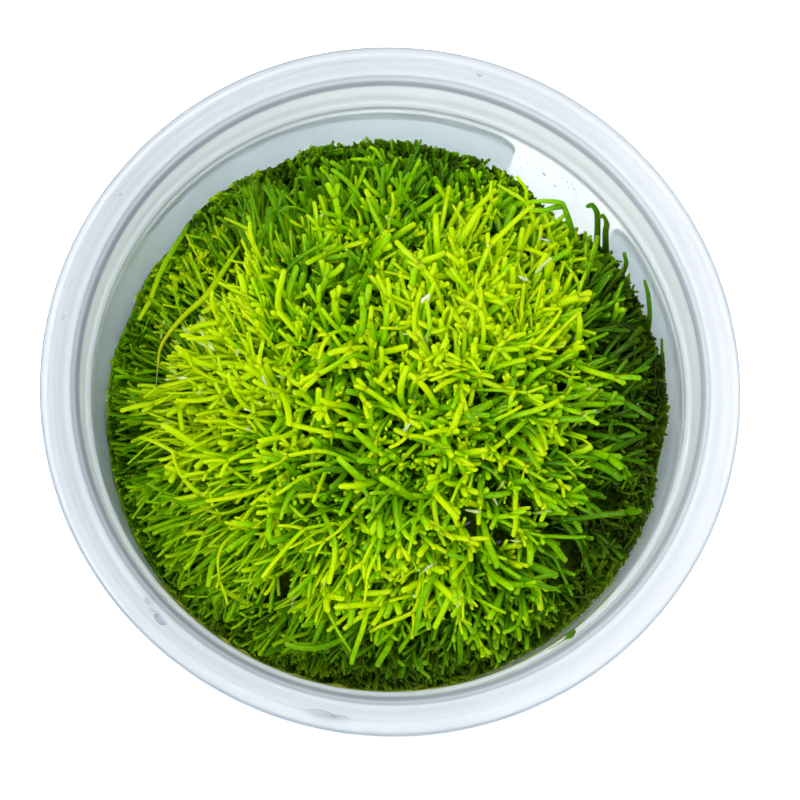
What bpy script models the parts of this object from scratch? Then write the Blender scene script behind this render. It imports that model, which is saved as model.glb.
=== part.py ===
"""Riccia grown in vitro, in its open round cup.

The cup is one moulding with a broad rim, a collar that a lid plugs into, a small
ledge below the collar, and a wall that tapers to a foot ring. A blank label is
wrapped round the wall, with a gap between its ends. A disc of nutrient gel lies
on the floor. The riccia stands on it as one tangled cushion, whose locks spread
towards the wall, and three loose thalli lie on the cushion and in the collar.

Metres, +Z up. The origin is the centre of the foot ring, on the surface that the
cup stands on. +Y is the far side of the cup and +X its right side, as it is seen
by someone who looks down on it from the front.
"""

import math
import random

import bmesh
import bpy
from mathutils import Matrix, Vector, noise

MM = 0.001

# The cup. Depths are measured down from the top of the rim.
CUP_HEIGHT = 55.0 * MM
CUP_STEPS = 48
RIM_RADIUS = 50.0 * MM
RIM_INNER_RADIUS = 45.6 * MM
RIM_EDGE_ROUND = 1.1 * MM
RIM_VALLEY_DEPTH = 0.3 * MM
SKIRT_HEIGHT = 5.0 * MM
SKIRT_THICKNESS = 1.1 * MM
COLLAR_TOP_RADIUS = 44.3 * MM
COLLAR_TOP_DEPTH = 1.2 * MM
COLLAR_FOOT_RADIUS = 43.5 * MM
LEDGE_DEPTH = 7.6 * MM
LEDGE_RADIUS = 42.9 * MM
WALL_THICKNESS = 1.05 * MM
FLOOR_RADIUS = 38.2 * MM
FLOOR_TOP = 1.7 * MM
FLOOR_THICKNESS = 1.0 * MM
FLOOR_CORNER = 2.4 * MM
FOOT_WIDTH = 1.6 * MM

# The label, which follows the outside of the wall.
FIT_GAP = 0.3 * MM
LABEL_THICKNESS = 0.25 * MM
LABEL_LOW = 9.0 * MM
LABEL_HIGH = 43.5 * MM
LABEL_CORNER = 3.5 * MM
LABEL_GAP_WIDTH = 18.5 * MM
LABEL_GAP_ANGLE = math.radians(51.0)

# The gel and the cushion that stands on it.
GEL_TOP = 9.5 * MM
CUSHION_FOOT = GEL_TOP + FIT_GAP
CUSHION_CROWN = 38.6 * MM
CUSHION_DROP = 6.5 * MM
CUSHION_RADIUS = 38.5 * MM
CUSHION_SLOPE = 0.085
CUSHION_WALL_GAP = 0.9 * MM
CUSHION_STEPS = 28
LUMP_HEIGHT = 2.6 * MM
LUMP_SIZE = 13.0 * MM

# Locks are bunches of thalli. Each one forks, as a riccia thallus does.
LOCK_COUNT = 52
LOCK_LENGTH = 11.0 * MM
LOCK_BASE = 1.6 * MM
LOCK_TIP = 0.75 * MM
LOCK_ROOT_DEPTH = 3.0 * MM
LOCK_REACH = 37.5 * MM
LOCK_CEILING = 46.6 * MM
LOCK_WALL_CLEARANCE = 0.7 * MM
LOCK_LOOSE_CLEARANCE = 2.2 * MM
FORK_ANGLE = math.radians(20.0)
GOLDEN_ANGLE = math.pi * (3 - math.sqrt(5))

# The loose thalli, as points that each one passes over, in millimetres.
LONG_THALLUS_ROUTE = ((-20.0, 24.6), (-24.6, 18.6), (-29.0, 13.4), (-32.6, 8.8), (-33.6, 4.2))
SHORT_THALLUS_ROUTE = ((-27.4, 27.0), (-31.0, 22.6), (-33.8, 17.8), (-35.2, 13.0))
THALLUS_RADIUS = 0.45 * MM
THALLUS_LIFT = 0.2 * MM
GROOVE_CLEARANCE = 0.35 * MM
SCRAP_ANGLE = math.radians(-52.5)
SCRAP_LENGTH = 4.2 * MM
SCRAP_RADIUS = 0.4 * MM


def wall_inside(z):
    """Radius of the wall's inner face at a height, below the ledge."""
    low, high = FLOOR_TOP, CUP_HEIGHT - LEDGE_DEPTH
    return FLOOR_RADIUS + (LEDGE_RADIUS - FLOOR_RADIUS) * (z - low) / (high - low)


def wall_outside(z):
    """Radius of the wall's outer face at a height."""
    return wall_inside(z) + WALL_THICKNESS


def crown_height(x, y):
    """Height of the cushion's top: a low dome that is higher on the right, with lumps where tufts stand."""
    dome = CUSHION_CROWN - CUSHION_DROP * (math.hypot(x, y) / CUSHION_RADIUS) ** 2.4
    return dome + CUSHION_SLOPE * x + LUMP_HEIGHT * noise.noise(Vector((x, y, 0.0)) / LUMP_SIZE)


def clear_scene():
    """Removes whatever the scene holds."""
    for obj in list(bpy.data.objects):
        bpy.data.objects.remove(obj, do_unlink=True)


def new_collection(name):
    """A collection linked into the scene."""
    made = bpy.data.collections.new(name)
    bpy.context.scene.collection.children.link(made)
    return made


def new_material(name, colour, roughness, transmission=0.0):
    """A Principled material, with no metal in it."""
    made = bpy.data.materials.new(name)
    made.use_nodes = True
    shader = made.node_tree.nodes["Principled BSDF"]
    shader.inputs["Base Color"].default_value = (*colour, 1.0)
    shader.inputs["Roughness"].default_value = roughness
    shader.inputs["Metallic"].default_value = 0.0
    shader.inputs["Transmission Weight"].default_value = transmission
    made.diffuse_color = (*colour, 1.0)
    return made


def arc(centre, radius, start, end, count):
    """Points of an arc in a profile, with its angles in degrees from the +r axis."""
    turns = [math.radians(start + (end - start) * i / count) for i in range(count + 1)]
    return [(centre[0] + radius * math.cos(a), centre[1] + radius * math.sin(a)) for a in turns]


def turned(name, profile, steps, collection, material):
    """A solid or a shell of revolution: the profile's (radius, height) points turned round Z."""
    mesh = bpy.data.meshes.new(name)
    points = [(r, 0.0, z) for r, z in profile]
    mesh.from_pydata(points, [(i, i + 1) for i in range(len(points) - 1)], [])
    obj = bpy.data.objects.new(name, mesh)
    collection.objects.link(obj)
    obj.data.materials.append(material)
    screw = obj.modifiers.new("Turn", "SCREW")
    screw.axis = "Z"
    screw.angle = math.tau
    screw.steps = steps
    screw.render_steps = steps
    screw.use_merge_vertices = True
    screw.merge_threshold = 0.00001
    screw.use_smooth_shade = True
    return obj


def as_mesh(obj):
    """A plain mesh object in place of one with modifiers, or of a curve, with its caps welded."""
    bpy.context.view_layer.update()
    graph = bpy.context.evaluated_depsgraph_get()
    mesh = bpy.data.meshes.new_from_object(obj.evaluated_get(graph))
    made = bpy.data.objects.new(obj.name, mesh)
    made.matrix_world = obj.matrix_world.copy()
    obj.users_collection[0].objects.link(made)
    name = obj.name
    bpy.data.objects.remove(obj, do_unlink=True)
    made.name = name
    weld = bmesh.new()
    weld.from_mesh(mesh)
    bmesh.ops.remove_doubles(weld, verts=weld.verts, dist=0.000005)
    bmesh.ops.recalc_face_normals(weld, faces=weld.faces)
    weld.to_mesh(mesh)
    weld.free()
    return made


def hide_helper(obj):
    """Marks a cutter or a guide, which isn't part of the object."""
    obj.hide_render = True
    obj.display_type = "WIRE"


def smooth_path(points, per_span):
    """Points along a Catmull-Rom curve through the given ones."""
    ends = [2 * points[0] - points[1], *points, 2 * points[-1] - points[-2]]
    path = []
    for a, b, c, d in zip(ends, ends[1:], ends[2:], ends[3:]):
        for i in range(per_span):
            t = i / per_span
            square, cube = 2 * a - 5 * b + 4 * c - d, 3 * b - a - 3 * c + d
            path.append(0.5 * (2 * b + (c - a) * t + square * t**2 + cube * t**3))
    return [*path, points[-1]]


def tube(name, points, radii, sides_resolution, collection, material):
    """A round tube along the points, whose radius changes from point to point."""
    curve = bpy.data.curves.new(name, "CURVE")
    curve.dimensions = "3D"
    curve.bevel_depth = 1.0
    curve.bevel_resolution = sides_resolution
    curve.use_fill_caps = True
    spline = curve.splines.new("POLY")
    spline.points.add(len(points) - 1)
    for point, place, radius in zip(spline.points, points, radii):
        point.co = (*place, 1.0)
        point.radius = radius
    curve.materials.append(material)
    obj = bpy.data.objects.new(name, curve)
    collection.objects.link(obj)
    return obj


def cup_profile():
    """The cup's section, from the middle of the floor up its inside, over the rim and down its outside."""
    top = CUP_HEIGHT
    rim_under = top - SKIRT_THICKNESS
    skirt_inner = RIM_RADIUS - SKIRT_THICKNESS
    skirt_foot = top - SKIRT_HEIGHT
    valley = (RIM_INNER_RADIUS + RIM_RADIUS) / 2 - 0.45 * MM
    floor_under = FLOOR_TOP - FLOOR_THICKNESS
    foot_outer = wall_outside(0.0) - 0.4 * MM
    corner = (FLOOR_RADIUS + 0.15 * MM - FLOOR_CORNER, FLOOR_TOP + FLOOR_CORNER)
    edge = (RIM_RADIUS - RIM_EDGE_ROUND, top - RIM_EDGE_ROUND)
    collar_outer = COLLAR_TOP_RADIUS + WALL_THICKNESS
    return [
        (0.0, FLOOR_TOP),
        *arc(corner, FLOOR_CORNER, -90, 0, 3),
        (LEDGE_RADIUS, top - LEDGE_DEPTH),
        (COLLAR_FOOT_RADIUS, top - LEDGE_DEPTH + 0.25 * MM),
        (COLLAR_TOP_RADIUS, top - COLLAR_TOP_DEPTH),
        (COLLAR_TOP_RADIUS + 0.45 * MM, top - 0.4 * MM),
        (RIM_INNER_RADIUS, top),
        (valley - 0.75 * MM, top),
        (valley, top - RIM_VALLEY_DEPTH),
        (valley + 0.75 * MM, top),
        *arc(edge, RIM_EDGE_ROUND, 90, 0, 3),
        (RIM_RADIUS, skirt_foot),
        (skirt_inner, skirt_foot),
        (skirt_inner, rim_under),
        (collar_outer + 0.4 * MM, rim_under),
        (collar_outer, rim_under - 0.6 * MM),
        (COLLAR_FOOT_RADIUS + WALL_THICKNESS, top - LEDGE_DEPTH - 0.5 * MM),
        (wall_outside(top - LEDGE_DEPTH - WALL_THICKNESS), top - LEDGE_DEPTH - WALL_THICKNESS),
        (wall_outside(1.2 * MM), 1.2 * MM),
        (foot_outer, 0.0),
        (foot_outer - FOOT_WIDTH, 0.0),
        (foot_outer - FOOT_WIDTH - 0.5 * MM, floor_under),
        (0.0, floor_under),
    ]


def make_cup(collection):
    """The moulded cup."""
    plastic = new_material("clear_plastic", (0.86, 0.9, 0.93), 0.3, 0.7)
    return turned("cup", cup_profile(), CUP_STEPS, collection, plastic)


def label_gap_outline():
    """Outline of the label's gap, with x along the wall: it flares where the label's corners are round."""
    half, flare = LABEL_GAP_WIDTH / 2, LABEL_CORNER
    beyond = 2 * MM
    low_arc = arc((-half - flare, LABEL_LOW + flare), flare, -90, 0, 4)
    high_arc = arc((-half - flare, LABEL_HIGH - flare), flare, 0, 90, 4)
    left = [(-half - flare, LABEL_LOW - beyond), *low_arc, *high_arc, (-half - flare, LABEL_HIGH + beyond)]
    return left + [(-x, z) for x, z in reversed(left)]


def make_label(collection, helpers):
    """The blank label: a thin cone round the wall, open for the width of its gap."""
    paper = new_material("label_film", (0.8, 0.84, 0.85), 0.5)
    profile = [(wall_outside(z) + FIT_GAP, z) for z in (LABEL_HIGH, LABEL_LOW)]
    label = turned("label", profile, CUP_STEPS, collection, paper)
    wall = label.modifiers.new("Thickness", "SOLIDIFY")
    wall.thickness = LABEL_THICKNESS
    wall.offset = 1.0
    label = as_mesh(label)

    curve = bpy.data.curves.new("label_gap", "CURVE")
    curve.dimensions = "2D"
    curve.fill_mode = "BOTH"
    curve.extrude = 8 * MM
    outline = label_gap_outline()
    spline = curve.splines.new("POLY")
    spline.use_cyclic_u = True
    spline.points.add(len(outline) - 1)
    for point, (x, z) in zip(spline.points, outline):
        point.co = (x, z, 0.0, 1.0)
    cutter = bpy.data.objects.new("label_gap", curve)
    helpers.objects.link(cutter)
    reach = wall_outside(LABEL_HIGH)
    stand_up = Matrix.Rotation(math.radians(90), 4, "X")
    face_out = Matrix.Rotation(LABEL_GAP_ANGLE + math.radians(90), 4, "Z")
    place = Vector((math.cos(LABEL_GAP_ANGLE), math.sin(LABEL_GAP_ANGLE), 0.0)) * reach
    cutter.matrix_world = Matrix.Translation(place) @ face_out @ stand_up
    cutter = as_mesh(cutter)
    hide_helper(cutter)
    cut = label.modifiers.new("Gap", "BOOLEAN")
    cut.operation = "DIFFERENCE"
    cut.object = cutter
    return label


def make_gel(collection):
    """The disc of nutrient gel on the floor."""
    jelly = new_material("nutrient_gel", (0.6, 0.62, 0.35), 0.08, 0.8)
    low = FLOOR_TOP + FIT_GAP
    bend = low + FLOOR_CORNER
    profile = [
        (0.0, GEL_TOP),
        (wall_inside(GEL_TOP) - FIT_GAP, GEL_TOP),
        (wall_inside(bend) - 0.4 * MM, bend),
        (wall_inside(bend) - 1.3 * MM, low + 0.6 * MM),
        (wall_inside(low) - FLOOR_CORNER - 0.4 * MM, low),
        (0.0, low),
    ]
    return turned("nutrient_gel", profile, CUP_STEPS, collection, jelly)


def cushion_body(collection, material):
    """The cushion without its locks: a lumpy dome on a side that follows the wall."""
    def side(z):
        return wall_inside(z) - CUSHION_WALL_GAP

    shoulder, waist = 28.0 * MM, 19.0 * MM
    low = CUSHION_FOOT + 1.6 * MM
    profile = [
        *[(LOCK_REACH * i / 6, CUSHION_CROWN) for i in range(7)],
        (side(shoulder), shoulder),
        (side(waist), waist),
        (side(low), low),
        (side(CUSHION_FOOT) - 2.4 * MM, CUSHION_FOOT),
        (0.0, CUSHION_FOOT),
    ]
    body = as_mesh(turned("riccia_cushion", profile, CUSHION_STEPS, collection, material))
    for vertex in body.data.vertices:
        place = vertex.co
        if place.z > shoulder + MM:
            place.z = crown_height(place.x, place.y)
        elif place.z > waist + MM:
            place.z += CUSHION_SLOPE * place.x
    return body


def lean_and_heading(lean, heading):
    """Unit vector that leans away from straight up towards a heading."""
    return Vector((math.sin(lean) * math.cos(heading), math.sin(lean) * math.sin(heading), math.cos(lean)))


def keep_inside(point):
    """Brings a lock's point under the ceiling, and curls it up the wall where it would reach through."""
    flat = math.hypot(point.x, point.y)
    limit = wall_inside(point.z) - LOCK_WALL_CLEARANCE - LOCK_BASE * 0.75
    if flat > limit:
        point.x *= limit / flat
        point.y *= limit / flat
        point.z += 0.7 * (flat - limit)
    point.z = min(point.z, LOCK_CEILING - LOCK_TIP)
    return point


def lock_routes(radius, azimuth, length, rng):
    """Points along a lock's two prongs: the first from its root, the second from the fork on the first.

    Locks near the middle stand up and point any way. Those nearer the wall lean outwards more and more.
    A lock's prongs turn to either side of its heading.
    """
    lean = math.radians(rng.uniform(18, 38) + 36 * radius / LOCK_REACH)
    x, y = radius * math.cos(azimuth), radius * math.sin(azimuth)
    heading = azimuth + rng.uniform(-1.0, 1.0) * (1.25 - radius / LOCK_REACH)
    start = Vector((x, y, crown_height(x, y))) - lean_and_heading(lean, azimuth) * LOCK_ROOT_DEPTH
    fork = keep_inside(start + lean_and_heading(lean, heading) * (LOCK_ROOT_DEPTH + length * 0.36))
    routes = [[start, fork], [fork]]
    side = rng.choice((-1, 1))
    for route in routes:
        turn, rise = side * FORK_ANGLE * rng.uniform(0.9, 1.5), math.radians(rng.uniform(-4, 10))
        reach = length * rng.uniform(0.55, 0.68)
        point = fork
        for step in (1, 2):
            point = point + lean_and_heading(lean + rise * step, heading + turn * step) * reach / 2
            route.append(keep_inside(point.copy()))
        side = -side
    return routes


def near_loose(routes):
    """Whether a lock comes close enough to a loose thallus to touch it."""
    loose = [smooth_path([Vector((*p, 0.0)) * MM for p in route], 3)
             for route in (LONG_THALLUS_ROUTE, SHORT_THALLUS_ROUTE)]
    places = [Vector((p.x, p.y, 0.0)) for route in routes for p in route]
    places += [(a + b) / 2 for a, b in zip(places, places[1:])]
    return any((a - b).length < LOCK_LOOSE_CLEARANCE for path in loose for a in path for b in places)


def make_locks(helpers, material):
    """The forked locks, as closed tubes whose roots reach into the cushion."""
    rng = random.Random(7)
    locks = []
    for i in range(LOCK_COUNT):
        radius = LOCK_REACH * math.sqrt((i + 0.4) / LOCK_COUNT)
        length = LOCK_LENGTH * rng.uniform(0.75, 1.15) * (1.0 - 0.2 * radius / LOCK_REACH)
        routes = lock_routes(radius, i * GOLDEN_ANGLE, length, rng)
        if near_loose(routes):
            continue
        for label, route in zip("ab", routes):
            thick = [LOCK_BASE + (LOCK_TIP - LOCK_BASE) * share for share in (0.0, 0.2, 0.55, 1.0)]
            radii = thick if label == "a" else [thick[1] * 0.85, *thick[2:]]
            lock = as_mesh(tube(f"lock_{i:02d}_{label}", route, radii, 1, helpers, material))
            hide_helper(lock)
            locks.append(lock)
    return locks


def loose_radii(count, radius):
    """Radii along a loose thallus: full in the middle and finer at both ends."""
    return [radius * (0.55 + 0.45 * math.sin(math.pi * (0.12 + 0.8 * i / (count - 1)))) for i in range(count)]


def make_loose_thallus(name, route, collection, helpers, material):
    """Lays a loose thallus on the cushion, and returns the cutter of the groove that it lies in."""
    places = [Vector((x, y, 0.0)) * MM for x, y in route]
    for place in places:
        place.z = crown_height(place.x, place.y) + THALLUS_LIFT
    path = smooth_path(places, 3)
    radii = loose_radii(len(path), THALLUS_RADIUS)
    as_mesh(tube(name, path, radii, 1, collection, material))
    wide = [radius + GROOVE_CLEARANCE for radius in radii]
    ends = [path[0] + (path[0] - path[1]).normalized() * GROOVE_CLEARANCE, *path[1:-1],
            path[-1] + (path[-1] - path[-2]).normalized() * GROOVE_CLEARANCE]
    groove = as_mesh(tube(name + "_groove", ends, wide, 2, helpers, material))
    hide_helper(groove)
    return groove


def make_scrap(collection, material):
    """A short scrap of thallus that clings to the inside of the collar."""
    low, high = LEDGE_DEPTH - 0.4 * MM, COLLAR_TOP_DEPTH
    points = []
    for i in range(5):
        share = i / 4
        depth = low + (high - low) * (0.3 + 0.25 * share)
        on_wall = COLLAR_FOOT_RADIUS + (COLLAR_TOP_RADIUS - COLLAR_FOOT_RADIUS) * (low - depth) / (low - high)
        radius = on_wall - SCRAP_RADIUS - FIT_GAP
        turn = SCRAP_ANGLE + SCRAP_LENGTH * (share - 1) / radius
        points.append(Vector((radius * math.cos(turn), radius * math.sin(turn), CUP_HEIGHT - depth)))
    radii = [SCRAP_RADIUS * share for share in (0.4, 0.5, 0.65, 1.0, 0.7)]
    return as_mesh(tube("thallus_scrap", points, radii, 1, collection, material))


def make_riccia(collection, helpers):
    """The cushion with its locks grown on, and the loose thalli."""
    green = new_material("riccia_green", (0.24, 0.42, 0.03), 0.4)
    yellow = new_material("riccia_yellow", (0.5, 0.62, 0.08), 0.35)
    body = cushion_body(collection, green)
    locks = make_locks(helpers, green)
    grown = bpy.data.collections.new("locks")
    for lock in locks:
        grown.objects.link(lock)
    join = body.modifiers.new("Grow_locks", "BOOLEAN")
    join.operation = "UNION"
    join.operand_type = "COLLECTION"
    join.collection = grown
    pieces = (("long_thallus", LONG_THALLUS_ROUTE), ("short_thallus", SHORT_THALLUS_ROUTE))
    for name, route in pieces:
        groove = make_loose_thallus(name, route, collection, helpers, yellow)
        cut = body.modifiers.new("Rest_" + name, "BOOLEAN")
        cut.operation = "DIFFERENCE"
        cut.object = groove
    make_scrap(collection, yellow)


def main():
    clear_scene()
    parts = new_collection("riccia_in_vitro_cup")
    helpers = new_collection("cutters")
    cup = make_cup(parts)
    make_label(parts, helpers)
    make_gel(parts)
    make_riccia(parts, helpers)
    for piece in parts.objects:
        if piece is not cup:
            piece.parent = cup


main()
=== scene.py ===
"""Looks of a cushion of riccia grown in vitro, in its open round cup.

The cup is translucent milky plastic, with a blank film label wrapped round it and a bed of
clear gel on its floor. Thousands of forked thalli stand on the gel as one tangled cushion:
upright and criss-crossed in the middle, combed outwards and down on the flanks. Water clings
to them, and to the wall and the rim, in beads.

Lengths in the classes are in millimetres, and meshes are in metres. +Z is up and +Y is the
far side of the cup, as the photograph looks down on it.
"""

import logging
import math
from dataclasses import dataclass, field
from enum import Enum

import bpy
import numpy as np
from mathutils import Matrix, Vector


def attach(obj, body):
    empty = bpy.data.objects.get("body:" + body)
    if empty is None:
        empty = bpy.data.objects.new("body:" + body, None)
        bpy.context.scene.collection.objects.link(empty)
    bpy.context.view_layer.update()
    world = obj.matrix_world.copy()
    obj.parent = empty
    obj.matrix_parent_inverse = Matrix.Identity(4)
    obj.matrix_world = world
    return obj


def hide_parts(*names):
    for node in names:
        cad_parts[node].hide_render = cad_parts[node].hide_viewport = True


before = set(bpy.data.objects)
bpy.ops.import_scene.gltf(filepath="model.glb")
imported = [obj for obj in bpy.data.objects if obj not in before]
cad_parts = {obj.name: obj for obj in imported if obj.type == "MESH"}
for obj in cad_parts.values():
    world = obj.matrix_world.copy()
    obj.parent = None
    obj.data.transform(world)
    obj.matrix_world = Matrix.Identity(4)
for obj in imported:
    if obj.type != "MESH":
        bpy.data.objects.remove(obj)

LOG = logging.getLogger("riccia_cup")
MM = 0.001
TAU = 2.0 * math.pi
GOLDEN_ANGLE = math.pi * (3.0 - math.sqrt(5.0))
FOOT_POLE = 0.2  # how far a tube's first pole lies before its first ring, in widths
TIP_POLE = 0.32  # how far its last pole lies beyond its last ring

Colour = tuple[float, float, float]
Lobes = tuple[tuple[float, float, float, float], ...]
Stops = tuple[tuple[float, Colour], ...]


# Surfaces as arrays


@dataclass
class Surface:
    """Points and faces of one mesh, as arrays, with one colour value for each point.

    Args:
        points: (n, 3) positions in millimetres.
        quads: (q, 4) point numbers.
        triangles: (t, 3) point numbers.
        growth: (n, 3) values that the finish reads, or None.
    """

    points: np.ndarray
    quads: np.ndarray
    triangles: np.ndarray
    growth: np.ndarray | None = None

    def count(self) -> int:
        """Number of triangles that the faces make."""
        return 2 * len(self.quads) + len(self.triangles)


def joined(parts: list[Surface]) -> Surface:
    """One surface out of several, with their point numbers moved up one after another.

    Args:
        parts: Surfaces that all have growth values, or all have none.

    Returns:
        The joined surface.
    """
    starts = np.cumsum([0] + [len(part.points) for part in parts[:-1]])
    growth = None if parts[0].growth is None else np.concatenate([part.growth for part in parts])
    return Surface(
        np.concatenate([part.points for part in parts]),
        np.concatenate([part.quads + start for part, start in zip(parts, starts)]),
        np.concatenate([part.triangles + start for part, start in zip(parts, starts)]),
        growth,
    )


def polar(radius: np.ndarray | float, angle: np.ndarray, z: np.ndarray | float) -> np.ndarray:
    """Points (r cos a, r sin a, z), from radii, angles and heights that are spread to one shape."""
    return np.stack(np.broadcast_arrays(radius * np.cos(angle), radius * np.sin(angle), z), axis=-1)


def lattice(rings: int, steps: int) -> tuple[np.ndarray, np.ndarray]:
    """Faces of a closed tube: bands between its rings, and a fan round the pole at each end.

    The points are numbered ring by ring, and then come the first and the last pole.

    Args:
        rings: Number of rings.
        steps: Number of points in a ring.

    Returns:
        (q, 4) bands and (t, 3) fans, as point numbers.
    """
    i, j = np.meshgrid(np.arange(rings - 1), np.arange(steps), indexing="ij")
    k = (j + 1) % steps
    bands = np.stack([i * steps + j, i * steps + k, (i + 1) * steps + k, (i + 1) * steps + j], axis=-1)
    around = np.arange(steps)
    after = (around + 1) % steps
    first, top = rings * steps, (rings - 1) * steps
    fans = [
        np.stack([np.full(steps, first), after, around], axis=-1),
        np.stack([np.full(steps, first + 1), top + around, top + after], axis=-1),
    ]
    return bands.reshape(-1, 4), np.concatenate(fans)


def turned(profile: np.ndarray, steps: int) -> Surface:
    """Surface of revolution about Z.

    The point at ring i and step j is (r_i cos a_j, r_i sin a_j, z_i), where a_j runs once round.
    The first and the last profile point lie on the axis, and each is one pole.

    Args:
        profile: (n, 2) or (n, 3) radii, heights and, if there, a tone that the finish reads.
        steps: Number of steps round the axis.

    Returns:
        The closed surface. It faces outwards when the profile runs from the lower pole out and up.
    """
    ring = profile[1:-1]
    angle = np.arange(steps) * TAU / steps
    body = polar(ring[:, None, 0], angle, ring[:, None, 1]).reshape(-1, 3)
    poles = np.array([[0.0, 0.0, profile[0, 1]], [0.0, 0.0, profile[-1, 1]]])
    growth = None
    if profile.shape[1] == 3:
        tone = np.concatenate([np.repeat(ring[:, 2], steps), profile[[0, -1], 2]])
        growth = np.stack([tone, np.zeros_like(tone), np.zeros_like(tone)], axis=-1)
    return Surface(np.concatenate([body, poles]), *lattice(len(ring), steps), growth)


def rounded(profile: np.ndarray, radius: float, share: float = 0.38, count: int = 4) -> np.ndarray:
    """A profile whose corners are small quadratic arcs.

    Each inner corner B between A and C becomes the curve (1-t)^2 P + 2t(1-t) B + t^2 Q, where P
    and Q lie on BA and BC at the radius, or at a share of the shorter side.

    Args:
        profile: (n, m) points whose first two columns are radius and height.
        radius: Distance from each corner at which its arc starts.
        share: Most of a side that one arc may take.
        count: Number of segments in an arc.

    Returns:
        The finer profile.
    """
    before, corner, after = profile[:-2], profile[1:-1], profile[2:]
    back, ahead = before - corner, after - corner
    back_length = np.linalg.norm(back[:, :2], axis=1, keepdims=True)
    ahead_length = np.linalg.norm(ahead[:, :2], axis=1, keepdims=True)
    start = corner + back * np.minimum(radius / back_length, share)
    end = corner + ahead * np.minimum(radius / ahead_length, share)
    t = np.linspace(0.0, 1.0, count + 1)[None, :, None]
    arcs = (1 - t) ** 2 * start[:, None] + 2 * t * (1 - t) * corner[:, None] + t**2 * end[:, None]
    return np.concatenate([profile[:1], arcs.reshape(-1, profile.shape[1]), profile[-1:]])


def drift(places: np.ndarray, size: float, seed: int) -> np.ndarray:
    """Smooth random field: the sum of six sine waves of about that size, over the root of three.

    Args:
        places: (n, 2) places.
        size: Mean wavelength.
        seed: Seed of the waves' directions and phases.

    Returns:
        (n,) values, mostly between -2 and 2.
    """
    rng = np.random.default_rng(seed)
    angle, phase = rng.uniform(0.0, TAU, (2, 6))
    number = TAU / size * rng.uniform(0.7, 1.4, 6)
    waves = number * np.stack([np.cos(angle), np.sin(angle)])
    return np.sin(places @ waves + phase).sum(-1) / math.sqrt(3.0)


def bell(degrees: np.ndarray, middle: float, width: float, power: int = 2) -> np.ndarray:
    """Bell exp(-((angle - middle)/width)^power), the short way round the circle, in degrees."""
    apart = (degrees - middle + 180.0) % 360.0 - 180.0
    return np.exp(-((apart / width) ** power))


def lobed(places: np.ndarray, lobes: Lobes, start: float = 0.0) -> np.ndarray:
    """Values at (n, 2) places: a start value, plus each lobe's gain times exp(-(d/size)^2).

    Args:
        places: Where the values are wanted.
        lobes: Place, size and gain of each lobe.
        start: The value far from all lobes.

    Returns:
        (n,) values.
    """
    value = np.full(len(places), start)
    for x, y, size, gain in lobes:
        value += gain * np.exp(-((places[:, 0] - x) ** 2 + (places[:, 1] - y) ** 2) / size**2)
    return value


def nearness(places: np.ndarray, discs: tuple[tuple[float, float, float], ...]) -> np.ndarray:
    """How far (n, 2) places lie in one of some discs, from 0 to 1: exp(-(d/radius)^4) of the nearest."""
    apart = [((places[:, 0] - x) ** 2 + (places[:, 1] - y) ** 2) / radius**2 for x, y, radius in discs]
    return np.exp(-np.min(apart, axis=0) ** 2)


def unit(vectors: np.ndarray) -> np.ndarray:
    """Vectors along the last axis, scaled to length one."""
    return vectors / np.maximum(np.linalg.norm(vectors, axis=-1, keepdims=True), 1e-9)


def tubes(
    paths: np.ndarray, widths: np.ndarray, flatness: np.ndarray, roll: np.ndarray, sides: int
) -> Surface:
    """Flattened tubes along many paths at once.

    At point j of a path with tangent T, side S and normal N = T x S, the ring's point k is
    P + w/2 (cos a_k S + f sin a_k N). S is the path's own side direction with its part along T
    taken out. A pole a little beyond each end closes the tube with a round tip.

    Args:
        paths: (n, m, 3) points of n paths.
        widths: (n, m) width at each point.
        flatness: (n,) thickness as a share of the width.
        roll: (n,) turn of the side direction about the path.
        sides: Number of sides of each tube.

    Returns:
        One surface that holds all the tubes, without growth values.
    """
    n, m, _ = paths.shape
    tangent = unit(np.gradient(paths, axis=1))
    middle = unit(tangent.mean(axis=1))
    helper = np.where(np.abs(middle[:, 2:3]) > 0.8, np.array([[1.0, 0.0, 0.0]]), np.array([[0.0, 0.0, 1.0]]))
    side = unit(np.cross(middle, helper))
    across = np.cross(middle, side)
    side = side * np.cos(roll)[:, None] + across * np.sin(roll)[:, None]
    side = unit(side[:, None] - (side[:, None] * tangent).sum(-1, keepdims=True) * tangent)
    normal = np.cross(tangent, side)
    angle = np.arange(sides) * TAU / sides
    half = 0.5 * widths[:, :, None, None]
    flat = flatness[:, None, None, None]
    ring = side[:, :, None] * np.cos(angle)[:, None] + normal[:, :, None] * np.sin(angle)[:, None] * flat
    body = (paths[:, :, None] + half * ring).reshape(n, m * sides, 3)
    foot = paths[:, 0] - tangent[:, 0] * widths[:, :1] * FOOT_POLE
    tip = paths[:, -1] + tangent[:, -1] * widths[:, -1:] * TIP_POLE
    points = np.concatenate([body, foot[:, None], tip[:, None]], axis=1).reshape(-1, 3)
    bands, fans = lattice(m, sides)
    start = (np.arange(n) * (m * sides + 2))[:, None, None]
    return Surface(points, (bands + start).reshape(-1, 4), (fans + start).reshape(-1, 3))


def ball(steps: int, rings: int, lowest: float = -1.0) -> Surface:
    """Unit sphere, or its part above a height: the circle (sqrt(1-z^2), z) turned round Z.

    Args:
        steps: Number of steps round the axis.
        rings: Number of bands from bottom to top.
        lowest: Height at which the bottom is cut off flat.

    Returns:
        The closed surface.
    """
    turn = np.linspace(math.asin(lowest), math.pi / 2, rings + 1)
    circle = np.stack([np.cos(turn), np.sin(turn)], axis=-1)
    circle[-1, 0] = 0.0
    if lowest > -1.0:
        circle = np.concatenate([[[0.0, circle[0, 1]]], circle])
    return turned(circle, steps)


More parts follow.
